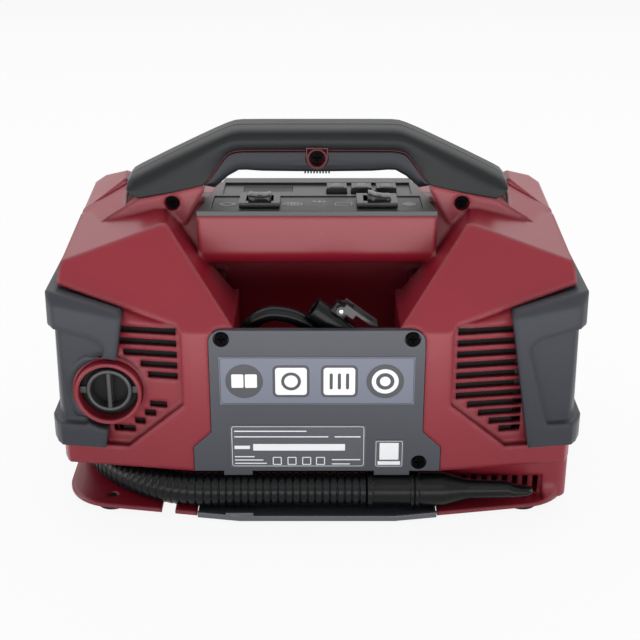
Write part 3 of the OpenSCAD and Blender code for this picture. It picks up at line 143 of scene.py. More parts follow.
pressure_line = smooth_line([(pocket_corner + Vector(p)) * MM for p in pocket_route], to_chuck * MM, 4)
print("pressure hose length", round(length_of(pressure_line), 4), "m,", len(pressure_line), "points")


# %% [markdown]
# ## Hoses from one Geometry Nodes tree
# A corrugated hose is one profile repeated a hundred times along a line, which is what Geometry Nodes
# are for: the line is cut into equal steps, each step is given a radius by its place within its rib,
# and a circle is drawn along it. With both radii alike the same tree makes the smooth hose.

# %% A small helper that builds node trees
def build_tree(name, kind, inputs=(), outputs=()):
    tree = bpy.data.node_groups.new(name, kind)
    for direction, sockets in (("INPUT", inputs), ("OUTPUT", outputs)):
        for label, socket, value in sockets:
            item = tree.interface.new_socket(label, in_out=direction, socket_type=socket)
            if value is not None:
                item.default_value = value
    return tree


def add_node(tree, kind, settings=None, sockets=None):
    """One node: its type, its settings, then the values or links of its sockets."""
    node = tree.nodes.new(kind)
    for key, value in (settings or {}).items():
        setattr(node, key, value)
    for key, value in (sockets or {}).items():
        if isinstance(value, Wire):
            tree.links.new(value.socket, node.inputs[key])
        else:
            node.inputs[key].default_value = value
    return node


# %% Arithmetic on sockets
class Wire:
    """An output socket. Arithmetic on wires and numbers adds the Math nodes."""

    def __init__(self, socket):
        self.socket = socket

    def math(self, operation, *others, swap=False):
        tree = self.socket.id_data
        values = [self, *others]
        if swap:
            values.reverse()
        node = add_node(tree, "ShaderNodeMath", {"operation": operation}, dict(enumerate(values)))
        return Wire(node.outputs[0])

    def __add__(self, other): return self.math("ADD", other)
    def __sub__(self, other): return self.math("SUBTRACT", other)
    def __mul__(self, other): return self.math("MULTIPLY", other)
    def __truediv__(self, other): return self.math("DIVIDE", other)
    def __mod__(self, other): return self.math("FLOORED_MODULO", other)
    def __pow__(self, other): return self.math("POWER", other)
    def __gt__(self, other): return self.math("GREATER_THAN", other)
    def __lt__(self, other): return self.math("LESS_THAN", other)
    def __abs__(self): return self.math("ABSOLUTE")
    def __radd__(self, other): return self.math("ADD", other)
    def __rsub__(self, other): return self.math("SUBTRACT", other, swap=True)


# %% The beginning and the end of every tree
def tree_inputs(tree):
    """The tree's inputs by name."""
    return {s.name: Wire(s) for s in add_node(tree, "NodeGroupInput").outputs if s.name}


def end_tree(tree, shape, material, label):
    """Makes instances real, paints the shape, and hands it out."""
    real = add_node(tree, "GeometryNodeRealizeInstances", {}, {"Geometry": Wire(shape.outputs[0])})
    painted = add_node(tree, "GeometryNodeSetMaterial", {},
                       {"Geometry": Wire(real.outputs[0]), "Material": material})
    add_node(tree, "NodeGroupOutput", {}, {label: Wire(painted.outputs[0])})
    return tree


# %% The hose tree
def hose_tree():
    tree = build_tree("hose along a line", "GeometryNodeTree",
                      [("Line", "NodeSocketGeometry", None), ("Ring Step", "NodeSocketFloat", 0.001),
                       ("Rings per Rib", "NodeSocketFloat", 8.0), ("Crest Radius", "NodeSocketFloat", 0.01),
                       ("Groove Radius", "NodeSocketFloat", 0.0084),
                       ("Rib Squareness", "NodeSocketFloat", 4.0), ("Sides", "NodeSocketInt", 24),
                       ("Material", "NodeSocketMaterial", None)],
                      [("Hose", "NodeSocketGeometry", None)])
    value = tree_inputs(tree)
    line = add_node(tree, "GeometryNodeMeshToCurve", {}, {"Mesh": value["Line"]})
    cut = add_node(tree, "GeometryNodeResampleCurve", {"mode": "LENGTH"},
                   {"Curve": Wire(line.outputs[0]), "Length": value["Ring Step"]})
    ring = Wire(add_node(tree, "GeometryNodeInputIndex").outputs[0])
    phase = (ring % value["Rings per Rib"]) / value["Rings per Rib"]
    crest = 1 - abs(phase * 2 - 1) ** value["Rib Squareness"]
    radius = value["Groove Radius"] + (value["Crest Radius"] - value["Groove Radius"]) * crest
    circle = add_node(tree, "GeometryNodeCurvePrimitiveCircle", {"mode": "RADIUS"},
                      {"Resolution": value["Sides"], "Radius": 1.0})
    tube = add_node(tree, "GeometryNodeCurveToMesh", {},
                    {"Curve": Wire(cut.outputs[0]), "Profile Curve": Wire(circle.outputs[0]),
                     "Scale": radius, "Fill Caps": True})
    smooth = add_node(tree, "GeometryNodeSetShadeSmooth", {}, {"Geometry": Wire(tube.outputs[0])})
    return end_tree(tree, smooth, value["Material"], "Hose")


# %% Turn a tree's result into a plain mesh
def mesh_from_points(name, points, edges=(), faces=()):
    mesh = bpy.data.meshes.new(name)
    mesh.from_pydata([tuple(p) for p in points], edges, faces)
    piece = bpy.data.objects.new(name, mesh)
    bpy.context.collection.objects.link(piece)
    return piece


def keep_result(piece, step):
    """The mesh that the modifier makes becomes the piece's own, and the modifier goes."""
    evaluated = piece.evaluated_get(bpy.context.evaluated_depsgraph_get())
    result = bpy.data.meshes.new_from_object(evaluated)
    piece.modifiers.remove(step)
    piece.data = result


def run_tree(piece, tree, **values):
    """Runs the tree on the piece with the named inputs."""
    step = piece.modifiers.new("nodes", "NODES")
    step.node_group = tree
    names = {item.name: item.identifier for item in tree.interface.items_tree if item.in_out == "INPUT"}
    for name, value in values.items():
        step[names[name.replace("_", " ")]] = value
    keep_result(piece, step)


# %% [markdown]
# ## Finishes
# Nearly every visible part is injection moulded, and its die was spark eroded, which leaves a fine
# even grain. One recipe makes them all: a colour that drifts a little, grain and rounded edges in the
# normal, and edges a touch paler where hands have rubbed them. The Bevel node rounds how every hard
# edge looks, by half a millimetre on small parts and by four or five on the shells and the bumpers,
# without a single extra face.

# %% A material in the making
class Finish:
    def __init__(self, name, constants):
        self.material = bpy.data.materials.new(name)
        self.material.use_nodes = True
        self.tree = self.material.node_tree
        self.shader = self.tree.nodes["Principled BSDF"]
        for socket, value in constants.items():
            self.shader.inputs[socket].default_value = value

    def node(self, kind, settings=None, sockets=None, out=0):
        return Wire(add_node(self.tree, kind, settings, sockets).outputs[out])

    def place(self):
        return self.node("ShaderNodeTexCoord", out="Object")

    def noise(self, scale, detail=2.0, rough=0.5, vector=None):
        return self.node("ShaderNodeTexNoise", {}, {"Vector": vector or self.place(), "Scale": scale,
                                                    "Detail": detail, "Roughness": rough})

    def blend(self, factor, a, b):
        return self.node("ShaderNodeMix", {"data_type": "RGBA"}, {0: factor, 6: a, 7: b}, 2)

    def window(self, value, low, high):
        """0 below low and 1 above high, with a soft step between."""
        return self.node("ShaderNodeMapRange", {"interpolation_type": "SMOOTHSTEP"},
                         {"Value": value, "From Min": low, "From Max": high})

    def rounded(self, radius):
        """The normal with its edges rounded, and a mask that is 1 along them."""
        normal = self.node("ShaderNodeBevel", {"samples": 6}, {"Radius": radius})
        flat = self.node("ShaderNodeNewGeometry", out="Normal")
        alike = self.node("ShaderNodeVectorMath", {"operation": "DOT_PRODUCT"}, {0: normal, 1: flat}, "Value")
        return normal, self.window(1 - alike, 0.02, 0.25)

    def bump(self, height, distance, normal=None):
        base = {"Normal": normal} if normal else {}
        return self.node("ShaderNodeBump", {}, {"Height": height, "Distance": distance, **base})

    def feed(self, **wires):
        for name, wire in wires.items():
            self.tree.links.new(wire.socket, self.shader.inputs[name.replace("_", " ")])
        return self.material


def shade(colour, factor):
    """The colour made darker or lighter, with an alpha of 1."""
    return tuple(c * factor for c in colour) + (1.0,)


# %% Moulded plastic
def moulded(name, colour, rough, edge=0.0006, grain=900.0, depth=0.00003, wear=0.12, drift=0.10, dust=0.0,
            gloss=0.5):
    """Injection moulded plastic. Edge, the rounding, and depth, the grain's, are in metres; grain is lumps a metre."""
    f = Finish(name, {"Specular IOR Level": gloss})
    slow = f.noise(9.0, 4.0, 0.6)
    base = f.blend(slow, shade(colour, 1 - drift), shade(colour, 1 + drift))
    normal, rim = f.rounded(edge)
    pale = tuple(min(1, c * 1.25 + 0.06) for c in colour) + (1.0,)
    base = f.blend(rim * wear * 2 * f.noise(160.0, 3.0), base, pale)
    lumps = f.noise(grain, 3.0, 0.55)
    if dust:
        cells = f.node("ShaderNodeTexVoronoi", {}, {"Vector": f.place(), "Scale": 260.0, "Randomness": 1.0})
        speck = (cells < 0.035) * (f.noise(70.0) > 0.58)
        base = f.blend(speck * dust, base, (0.75, 0.70, 0.68, 1))
    rough_now = rough + (lumps - 0.5) * 0.10 + (f.noise(26.0, 3.0) - 0.5) * 0.10 - rim * 0.06
    return f.feed(Base_Color=base, Roughness=rough_now, Normal=f.bump(lumps, depth, normal))


finish = {
    "red_plastic": moulded("red moulded shell", (0.21, 0.008, 0.019), 0.34, gloss=0.45, edge=0.004, dust=0.4),
    "cover_plastic": moulded("grey cover", (0.036, 0.040, 0.051), 0.40, dust=0.3),
    "bumper_plastic": moulded("soft bumper", (0.034, 0.037, 0.045), 0.36, gloss=0.2, edge=0.005, grain=1200.0),
    "grip_rubber": moulded("soft grip", (0.007, 0.008, 0.009), 0.40, gloss=0.2, edge=0.001, grain=1500.0),
    "panel_plastic": moulded("panel bezel", (0.035, 0.035, 0.036), 0.40),
    "switch_plastic": moulded("switch black", (0.004, 0.004, 0.005), 0.22, gloss=0.4, edge=0.0007, grain=2000.0),
    "hose_plastic": moulded("black moulding", (0.0035, 0.0038, 0.0045), 0.26, gloss=0.18, grain=1500.0),
    "gear_plastic": moulded("natural nylon", (0.62, 0.59, 0.50), 0.38, edge=0.0003, grain=1800.0),
    "foot_rubber": moulded("foot rubber", (0.004, 0.004, 0.004), 0.60, gloss=0.2, edge=0.0005, grain=1200.0),
}
print("moulded finishes:", ", ".join(finish))


# %% Metal and printed film
def metal(name, colour, rough, grain, stretch=(1, 1, 1), depth=0.00002, edge=0.0003):
    """Bare metal: the grain is stretched along the way it was turned or drawn."""
    f = Finish(name, {"Metallic": 1.0})
    along = f.node("ShaderNodeMapping", {}, {"Vector": f.place(), "Scale": stretch})
    lines = f.noise(grain, 4.0, 0.6, along)
    normal, rim = f.rounded(edge)
    base = f.blend(f.noise(40.0, 3.0), shade(colour, 0.85), shade(colour, 1.08))
    base = f.blend(rim * 0.5, base, shade(colour, 1.3))
    return f.feed(Base_Color=base, Roughness=rough + (lines - 0.5) * 0.18, Normal=f.bump(lines, depth, normal))


def film(name, colour, rough):
    """A printed film: smooth, with the faint ripple of the glue beneath it."""
    f = Finish(name, {"Specular IOR Level": 0.5})
    base = f.blend(f.noise(14.0, 3.0), shade(colour, 0.93), shade(colour, 1.05))
    ripple = f.noise(60.0, 2.0)
    normal, rim = f.rounded(0.0002)
    fibres = f.noise(1400.0, 2.0)
    return f.feed(Base_Color=f.blend(rim * 0.3, base, shade(colour, 1.5)),
                  Roughness=rough + (fibres - 0.5) * 0.08, Normal=f.bump(ripple + fibres * 0.1, 0.00006, normal))


# %% Circuit board, blown hose and smoked window
def circuit_board():
    """Green lacquer over copper tracks, with tinned pads."""
    f = Finish("circuit board", {"Specular IOR Level": 0.6})
    tracks = f.node("ShaderNodeTexBrick", {"offset": 0.5}, {"Vector": f.place(), "Scale": 160.0,
                    "Mortar Size": 0.08, "Brick Width": 1.6, "Row Height": 0.3}, "Fac")
    pads = f.node("ShaderNodeTexVoronoi", {}, {"Vector": f.place(), "Scale": 220.0, "Randomness": 0.15})
    pad = f.window(pads, 0.28, 0.22)
    base = f.blend(tracks, (0.012, 0.085, 0.035, 1), (0.03, 0.16, 0.07, 1))
    base = f.blend(pad, base, (0.55, 0.56, 0.55, 1))
    return f.feed(Base_Color=base, Roughness=0.42 - pad * 0.12, Metallic=pad * 0.8,
                  Normal=f.bump(tracks + pad, 0.00005))


def hose_rubber(name, colour, rough):
    """Blown hose: glossy, with a tone and a roughness that drift at random."""
    f = Finish(name, {"Specular IOR Level": 0.18})
    base = f.blend(f.noise(30.0, 4.0), shade(colour, 0.8), shade(colour, 1.3))
    streak = f.noise(420.0, 3.0)
    return f.feed(Base_Color=base, Roughness=rough + (streak - 0.5) * 0.14 + (f.noise(18.0) - 0.5) * 0.08,
                  Normal=f.bump(streak, 0.00002))


def dark_window():
    """Smoked display cover, with faint smears."""
    f = Finish("display window", {"Specular IOR Level": 0.15})
    smear = f.noise(45.0, 4.0, 0.7)
    base = f.blend(smear, (0.004, 0.0045, 0.006, 1), (0.010, 0.011, 0.014, 1))
    return f.feed(Base_Color=base, Roughness=0.30 + smear * 0.12,
                  Normal=f.bump(smear, 0.00001, f.rounded(0.0003)[0]))


# %% The other finishes
finish.update({
    "steel": metal("turned steel", (0.56, 0.56, 0.57), 0.28, 900.0, (1, 0.05, 1)),
    "screw_steel": metal("blackened screw", (0.003, 0.003, 0.0033), 0.5, 1400.0),
    "aluminium": metal("cast aluminium", (0.62, 0.63, 0.65), 0.42, 700.0, depth=0.00006, edge=0.0006),
    "contacts": metal("brass contact", (0.78, 0.55, 0.22), 0.25, 1100.0, (0.1, 1, 1)),
    "label": film("silver film", (0.14, 0.152, 0.20), 0.38),
    "label_dark": film("grey film", (0.068, 0.073, 0.088), 0.36),
    "board": circuit_board(),
    "hose": hose_rubber("black hose", (0.0045, 0.005, 0.006), 0.24),
    "window": dark_window(),
    "grip_band": moulded("grip band", (0.006, 0.008, 0.012), 0.36, gloss=0.25, edge=0.001, grain=1800.0),
    "plate_gloss": moulded("polished plate", (0.075, 0.08, 0.095), 0.16, edge=0.001, grain=500.0, depth=0.00001,
                           gloss=0.9),
    "bumper_trim": moulded("bumper collar", (0.026, 0.028, 0.035), 0.32, gloss=0.25, edge=0.0005, grain=1200.0),
    # The handle core's red plastic made much darker: painted shade for the crease between the grip halves and the
    # overhang above the boss.
    "red_trim": moulded("red plastic in painted shade", (0.060, 0.004, 0.008), 0.45, edge=0.0004, gloss=0.3, wear=0.05),
    "port_plastic": moulded("port insert", (0.035, 0.035, 0.037), 0.34, edge=0.0005, grain=1500.0),
    # Near-black sheet behind the slots: painted shade for the dark inside of the housing.
    "filter_foam": moulded("black behind slots painted shade", (0.002, 0.002, 0.002), 0.9, edge=0.0003, grain=700.0, depth=0.0004,
                           wear=0.0),
    "ink_dark": film("dark ink", (0.045, 0.047, 0.055), 0.42),
    "ink_pale": film("pale ink", (0.80, 0.81, 0.83), 0.45),
})
print(len(finish), "finishes")


# %% [markdown]
# ## Finishes on the CAD parts
# Each CAD part keeps its solid and takes the finish of its material slot. Three parts are
# finished apart: the two rocker frames are as black as the rockers, and the base plate is polished.

# %% Dress the CAD parts
finished_apart = {"rocker_frame_left": "switch_plastic", "rocker_frame_right": "switch_plastic",
                  "base_plate": "plate_gloss"}
for name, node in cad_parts.items():
    slot = node.material_slots[0].material.name.split(".")[0]
    for held in node.material_slots:
        held.material = finish[finished_apart.get(name, slot)]
print(len(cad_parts), "CAD parts dressed")


# %% [markdown]
# ## Pieces from points
# The trim that follows is made of turned rings, thin plates with a drawn outline, and lofts through
# drawn sections. Each is a short list of points, so a few helpers make them all: one turns a profile
# round an axis, one raises an outline into a plate, one lofts through sections, and one adds the
# clean solids to the model as a piece of a moving or fixed body.

# %% From solids to a piece
def solid_mesh(name, solids):
    """One mesh from (points in mm, faces) pairs, its doubles merged and its faces turned outwards."""
    points, faces = [], []
    for some_points, some_faces in solids:
        faces += [tuple(i + len(points) for i in face) for face in some_faces]
        points += [Vector(p) * MM for p in some_points]
    piece = mesh_from_points(name, points, (), faces)
    tidy = bmesh.new()
    tidy.from_mesh(piece.data)
    bmesh.ops.remove_doubles(tidy, verts=tidy.verts, dist=2e-6)
    bmesh.ops.recalc_face_normals(tidy, faces=tidy.faces)
    tidy.to_mesh(piece.data)
    tidy.free()
    return piece


def add_piece(name, solids, slot, material=None, body="body", replaces=()):
    """A piece of the model on its body, with the given finish or else its slot's, in place of the CAD nodes it
    replaces.
    """
    piece = solid_mesh(name, solids)
    piece.data.materials.append(material or finish[slot])
    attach(piece, body)
    if replaces:
        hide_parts(*replaces)
    return piece


def smooth_by_angle(piece, degrees):
    """Smooth shading that keeps the edges sharper than the angle."""
    tidy = bmesh.new()
    tidy.from_mesh(piece.data)
    for face in tidy.faces:
        face.smooth = True
    for edge in tidy.edges:
        edge.smooth = len(edge.link_faces) == 2 and edge.calc_face_angle() < math.radians(degrees)
    tidy.to_mesh(piece.data)
    tidy.free()
    return piece


# %% Solids: turned, raised and lofted
def turned(profile, at, sides=48):
    """A closed profile of (radius, along) points, turned round an axis. at(u, v, w) places a point."""
    count = len(profile)
    points = [at(r * math.cos(math.tau * k / sides), r * math.sin(math.tau * k / sides), w)
              for k in range(sides) for r, w in profile]
    faces = [(k * count + i, k * count + (i + 1) % count,
              (k + 1) % sides * count + (i + 1) % count, (k + 1) % sides * count + i)
             for k in range(sides) for i in range(count)]
    return points, faces


def raised(outline, low, high, at):
    """A plate with the drawn outline between two heights. at(u, v, w) places a point."""
    count = len(outline)
    points = [at(u, v, low) for u, v in outline] + [at(u, v, high) for u, v in outline]
    faces = [tuple(range(count)), tuple(range(count, 2 * count))]
    faces += [(i, (i + 1) % count, count + (i + 1) % count, count + i) for i in range(count)]
    return points, faces


def lofted(sections):
    """A closed skin over sections that have the same number of points."""
    count = len(sections[0])
    points = [p for section in sections for p in section]
    faces = [(s * count + i, s * count + (i + 1) % count, (s + 1) * count + (i + 1) % count, (s + 1) * count + i)
             for s in range(len(sections) - 1) for i in range(count)]
    return points, faces + [tuple(range(count)), tuple(range(len(points) - count, len(points)))]


# %% Outlines to raise or loft
def rounded_box(x0, x1, z0, z1, radius, steps=5):
    corners = [(x1 - radius, z1 - radius, 0), (x0 + radius, z1 - radius, 90),
               (x0 + radius, z0 + radius, 180), (x1 - radius, z0 + radius, 270)]
    return [point for cx, cz, a in corners for point in arc(cx, cz, radius, a, a + 90, steps)]


def half_round(x0, x1, z0, z1):
    """A bar along z with rounded ends."""
    return rounded_box(x0, x1, z0, z1, (x1 - x0) / 2 - 0.01, 8)


def ellipse(cx, cz, a, b, sides=32):
    return [(cx + a * math.cos(math.tau * k / sides), cz + b * math.sin(math.tau * k / sides)) for k in range(sides)]


def disc(cx, cz, radius, sides=40):
    return ellipse(cx, cz, radius, radius, sides)


# %% [markdown]
# ## Cuff and nozzle
# The air hose ends in a moulded cuff with two flanges, and the nozzle is pushed into the cuff: a
# sleeve, a cone, a slim tube and a flattened tip for narrow valves. The cuff is a body of revolution,
# so it is turned. The nozzle is round too until its tip, so it is lofted through circles that become
# flat ovals.

# %% Turn the cuff and loft the nozzle
def hose_place(u, v, w):
    return (w, -HOSE_Y + u, HOSE_Z + v)


cuff_profile = [(7.2, 29.2), (10.4, 29.2), (11.0, 29.5), (11.2, 30.1), (11.2, 31.7), (11.0, 32.3), (10.3, 32.6),
                (10.0, 33.4), (10.0, 53.2), (10.3, 54.0), (11.0, 54.3), (11.2, 54.9), (11.2, 55.8), (10.9, 56.3),
                (9.4, 56.4), (9.0, 56.6), (9.0, 65.4), (7.2, 65.4)]
cuff = add_piece("cuff", [turned(cuff_profile, hose_place)], "hose_plastic", replaces=("hose_cuff",))
nozzle_outside = [(9.6, 56.9), (10.6, 57.0), (10.9, 57.5), (10.9, 58.9), (10.6, 59.3), (9.9, 59.6), (9.8, 60.2),
                  (10.2, 62.0), (10.2, 72.4), (9.9, 74.6), (8.9, 78.2), (7.3, 83.6), (6.5, 86.4), (6.0, 88.8),
                  (5.8, 92.0), (5.3, 104.0), (5.1, 109.0), (4.9, 112.0)]
TIP = [(114.5, 4.8, 4.2), (117.5, 4.7, 3.4), (120.5, 4.5, 3.0), (123.2, 4.0, 2.7), (125.2, 3.1, 2.2),
       (126.4, 1.8, 1.4)]            # place along the tip, half its width and half its height
TIP_DROP = 0.9
sections = [[hose_place(u, v, w) for u, v in disc(0, 0, r)] for r, w in nozzle_outside]
sections += [[hose_place(u, v, w) for u, v in ellipse(0, -TIP_DROP, a, b, 40)] for w, a, b in TIP]
nozzle = add_piece("nozzle", [lofted(sections)], "hose_plastic", replaces=("hose_nozzle",))
for piece in (cuff, nozzle):
    smooth_by_angle(piece, 34)
print("cuff and nozzle", len(cuff.data.polygons) + len(nozzle.data.polygons), "faces")


# %% The two hoses
tree = hose_tree()
RIB, AIR_RINGS = 4.3, 10             # from one crest to the next, and the steps that draw it
air_hose = mesh_from_points("ribbed_air_hose", air_line, [(i, i + 1) for i in range(len(air_line) - 1)])
run_tree(air_hose, tree, Ring_Step=RIB * MM / AIR_RINGS, Rings_per_Rib=float(AIR_RINGS),
         Crest_Radius=AIR_RADIUS * MM, Groove_Radius=GROOVE_RADIUS * MM, Sides=32, Rib_Squareness=7.0,
         Material=finish["hose"])
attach(air_hose, "body")
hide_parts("air_hose")
length_of(air_line)

pressure_hose = mesh_from_points("pressure_hose_tube", pressure_line,
                                 [(i, i + 1) for i in range(len(pressure_line) - 1)])
run_tree(pressure_hose, tree, Ring_Step=0.0022, Rings_per_Rib=8.0, Crest_Radius=PRESSURE_RADIUS * MM,
         Groove_Radius=PRESSURE_RADIUS * MM, Sides=20, Material=finish["hose"])
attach(pressure_hose, "body")
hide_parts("pressure_hose")
length_of(pressure_line)
for piece in (air_hose, pressure_hose):
    print(piece.name, len(piece.data.polygons), "faces")


# %% [markdown]
# ## Air ports
# Each port is a red collar with a moulded insert inside it: a raised ring with a bar across its
# mouth, which keeps fingers out. A black ring round it and a black disc behind it are painted shade,
# for the dark gap round the insert and the dark well behind it. The CAD has the collar and its seat;
# the black ring and the rounded ring are turned profiles, and the bar is a short loft.

# %% Port trim
PORT_X, PORT_Z, SEAT_Y = -118.7, 77.4, 73.0


def port_place(side):
    return lambda u, v, w: (PORT_X + u, side * (SEAT_Y + w), PORT_Z + v)


for side, where in ((-1, "outlet"), (1, "inlet")):
    at = port_place(side)
    # Painted shade: a black ring in the gap round the insert and a black disc in the well behind it.
    shade_ring = turned([(13.0, 0.05), (16.9, 0.05), (16.9, 0.7), (16.4, 1.0), (13.6, 1.0), (13.0, 0.7)], at, 56)
    shade_disc = raised(disc(0, 0, 10.6), -3.0, -2.0, at)
    smooth_by_angle(add_piece(where + "_painted_shade_ring_and_disc", [shade_ring, shade_disc], "foot_rubber"), 40)
    lip = [(10.5, -2.0), (13.2, -2.0), (13.2, 3.4), (12.9, 4.2), (12.2, 4.6), (11.5, 4.6), (10.9, 4.2), (10.6, 3.4)]
    bar = lofted([[at(-1.4, v, 0.5), at(-1.4, v, 3.2), at(-0.9, v, 3.8), at(0.9, v, 3.8), at(1.4, v, 3.2),
                   at(1.4, v, 0.5)] for v in (-11.2, -4.0, 4.0, 11.2)])
    lugs = [raised(rounded_box(-16.9, -13.0, -2.0, 2.0, 0.5), 0.8, 2.6, at),
            raised(rounded_box(13.0, 16.9, -2.0, 2.0, 0.5), 0.8, 2.6, at)]
    insert = add_piece(where + "_insert", [turned(lip, at, 56), bar, *lugs], "panel_plastic", finish["port_plastic"])
    smooth_by_angle(insert, 35)
print("ports at x", PORT_X, "z", PORT_Z)


# %% [markdown]
# ## Dark sheets behind the slots
# Behind the slots lies a thin black sheet, painted shade that stands for the dark inside of the
# housing, so nobody looks into the machine. It is one flat plate on each quarter of the housing,
# cut round the port where there is one.

# %% Dark sheets behind the slots, painted shade
def screen_outline(side, port):
    inner = [(70.5, 72.0), (70.5, 122.0)]
    outer = [(113.5, 127.0), (113.5, 44.0), (99.0, 44.0)]
    if port:
        outer = [(113.3, 127.0), *arc(-PORT_X, PORT_Z, 22.5, 104, 256, 19), (113.3, 44.0), (99.0, 44.0)]
    return [(side * x, z) for x, z in inner + outer]


FIELD_SLOPE, FIELD_X = 0.146, 71.3   # how fast the slotted field falls back, and where it starts
SCREEN = (73.4, 74.6)                # inner and outer face of a screen


def in_field(face):
    return lambda u, v, w: (u, face * (w - FIELD_SLOPE * (abs(u) - FIELD_X)), v)


# Painted shade: one black sheet behind each slotted quarter.
screens = [raised(screen_outline(side, side < 0), *SCREEN, in_field(face)) for face in (-1, 1) for side in (-1, 1)]
add_piece("slot_shade_sheets", screens, "foot_rubber", finish["filter_foam"])
print(len(screens), "screens")


# %% [markdown]
# ## Printed films
# The cover carries three films: a strip of plain marks, a rating plate and a code plate. Real ones
# are screen printed. Each mark is a plate a twentieth of a millimetre thick, set on its film, so it
# stays sharp at any distance and can be picked up as geometry. The marks are neutral shapes.

# %% Shapes to print
FILM_Y = -84.3


def on_cover(u, v, w):
    return (u, FILM_Y - w, v)


def ring_shape(cx, cz, r_out, r_in, low, high, at, sides=40):
    section = [(r_in, low), (r_out, low), (r_out, high), (r_in, high)]
    return turned(section, lambda u, v, w: at(cx + u, cz + v, w), sides)


def frame_shape(x0, x1, z0, z1, radius, width, low, high, at):
    """A thin printed line round a rounded rectangle."""
    outer = rounded_box(x0, x1, z0, z1, radius)
    inner = rounded_box(x0 + width, x1 - width, z0 + width, z1 - width, max(radius - width, 0.1))
    count = len(outer)
    points = [at(u, v, h) for h in (low, high) for line in (outer, inner) for u, v in line]
    faces = []
    for i in range(count):
        j = (i + 1) % count
        faces += [(i, j, count + j, count + i), (2 * count + i, 2 * count + j, 3 * count + j, 3 * count + i),
                  (i, j, 2 * count + j, 2 * count + i), (count + i, count + j, 3 * count + j, 3 * count + i)]
    return points, faces


# %% Marks on the strip
INK = ((0.0, 0.05), (0.05, 0.1), (0.1, 0.15))     # layers of ink, counted from the film
MARK_Z = 87.0
pages, ring, bars, target = -41.0, -14.6, 12.6, 38.4


def printed(outline, layer=0):
    return raised(outline, *INK[layer], on_cover)


def box_about(x, half_width, half_height, radius):
    return rounded_box(x - half_width, x + half_width, MARK_Z - half_height, MARK_Z + half_height, radius)


dark_marks = [frame_shape(-54.6, 54.6, 72.9, 101.6, 2.0, 0.35, *INK[0], on_cover)]
dark_marks += [printed(disc(x, MARK_Z, 10.6)) for x in (pages, target)]
dark_marks += [printed(box_about(x, 10.4, 10.0, 3.0)) for x in (ring, bars)]
dark_marks += [printed(half_round(x - 0.9, x + 0.9, MARK_Z - 5, MARK_Z + 5), 2)
               for x in (bars - 4.6, bars, bars + 4.6)]
dark_marks.append(ring_shape(ring, MARK_Z, 5.6, 3.8, *INK[2], on_cover))
pale_marks = [printed(box_about(x, 8.9, 8.5, 1.8), 1) for x in (ring, bars)]
pale_marks += [printed(rounded_box(x - 3.4, x + 3.4, MARK_Z - 4.0, MARK_Z + 4.4, 0.8), 1)
               for x in (pages - 3.8, pages + 3.8)]
pale_marks += [ring_shape(target, MARK_Z, 7.6, 5.2, *INK[1], on_cover), printed(disc(target, MARK_Z, 3.0), 1)]
add_piece("film_marks_dark", dark_marks, "label_dark", finish["ink_dark"])
add_piece("film_marks_pale", pale_marks, "label", finish["ink_pale"])


# %% Rating plate and code plate
TEXT_ROWS = [(55.2, -47.5, -6.0), (51.6, -47.5, 6.5), (51.6, 10.0, 25.0), (38.6, -47.5, -36.0), (36.4, -47.5, -31.0),
             (34.2, -47.5, -29.0), (36.6, 8.5, 25.0), (33.8, 8.5, 19.0)]      # height, left end, right end
rows = [printed(rounded_box(u0, u1, v - 0.35, v + 0.35, 0.3, 3)) for v, u0, u1 in TEXT_ROWS]
rows += [printed(rounded_box(*box)) for box in ((-36.8, 16.1, 42.6, 46.9, 0.4), (-47.5, -38.6, 43.6, 45.8, 0.2),
                                                (36.0, 47.0, 36.6, 47.6, 0.2), (35.0, 48.0, 33.2, 35.6, 0.2))]
rows += [frame_shape(x - 2.6, x + 2.6, 33.2, 38.4, 0.6, 0.55, *INK[0], on_cover) for x in (-23.0, -14.5, -6.0, 2.0)]
rows += [frame_shape(-49.0, 27.0, 32.3, 58.3, 1.5, 0.3, *INK[0], on_cover),
         frame_shape(33.8, 49.2, 32.2, 48.8, 1.0, 0.25, *INK[0], on_cover)]
add_piece("plate_printing", rows, "label", finish["ink_pale"])
print(len(dark_marks) + len(pale_marks) + len(rows), "printed shapes")


# %% [markdown]
# ## Handle grips
# The bridge handle is a stiff core with soft rubber moulded over it in two halves, which meet along
# the parting line. Each half has a flat top, a generous round along its outer edge and a dark band
# beneath, with a thin red line of the core left bare between them. A loft through drawn sections
# fits this best: the section changes slowly along the bar, and a few rows of points steer it. The
# screw that closes the handle sits in a red boss in the middle.

# %% Lines along half of the handle, in mm, as (x, z)
PAD_TOP = [(0, 213.5), (32, 213.5), (44, 213.4), (48.5, 212.9), (53, 211.4), (60, 208.4), (70, 203.7),
           (80.2, 198.8), (88, 195), (94, 192), (100, 189), (105, 186.5), (109, 184.2), (111.2, 181.6),
           (111.9, 178.6)]
PAD_EDGE = [(0, 205.9), (33, 205.6), (45.5, 205.4), (49.5, 205.0), (54, 203.4), (58.5, 200.6), (65.5, 195.9),
            (74, 190.2), (80, 186), (86.5, 182.2), (92, 179.4), (98.5, 177), (104, 176.2), (108, 177), (110.9, 178)]
PAD_LOW = [(0, 201.6), (32, 201.5), (43.5, 201.4), (47.5, 201), (51.5, 199.6), (54.8, 196.2), (59, 190),
           (63, 184.2), (66.6, 180.6), (76, 178.4), (86, 176.2), (96, 174.4), (104.2, 172.9), (107.8, 174),
           (110.3, 176.6)]
BAND_TOP = [(0, 201.0), (32, 200.9), (43.3, 200.8), (47.2, 200.4), (51, 199.1), (54.2, 195.8), (58.4, 189.7),
            (62.5, 183.8), (66.2, 180.5)]
BAND_LOW = [(0, 187.2), (32, 187.6), (41, 188.3), (45.6, 188.2), (51.9, 184.6), (55.6, 181.2), (59.8, 177.6),
            (62.8, 178.6), (65.9, 180.1)]
OUTER_ROUND = [(10, 0.03), (12.6, 0.13), (15.2, 0.34), (16.6, 0.64), (17, 1)]     # depth, share of the way down
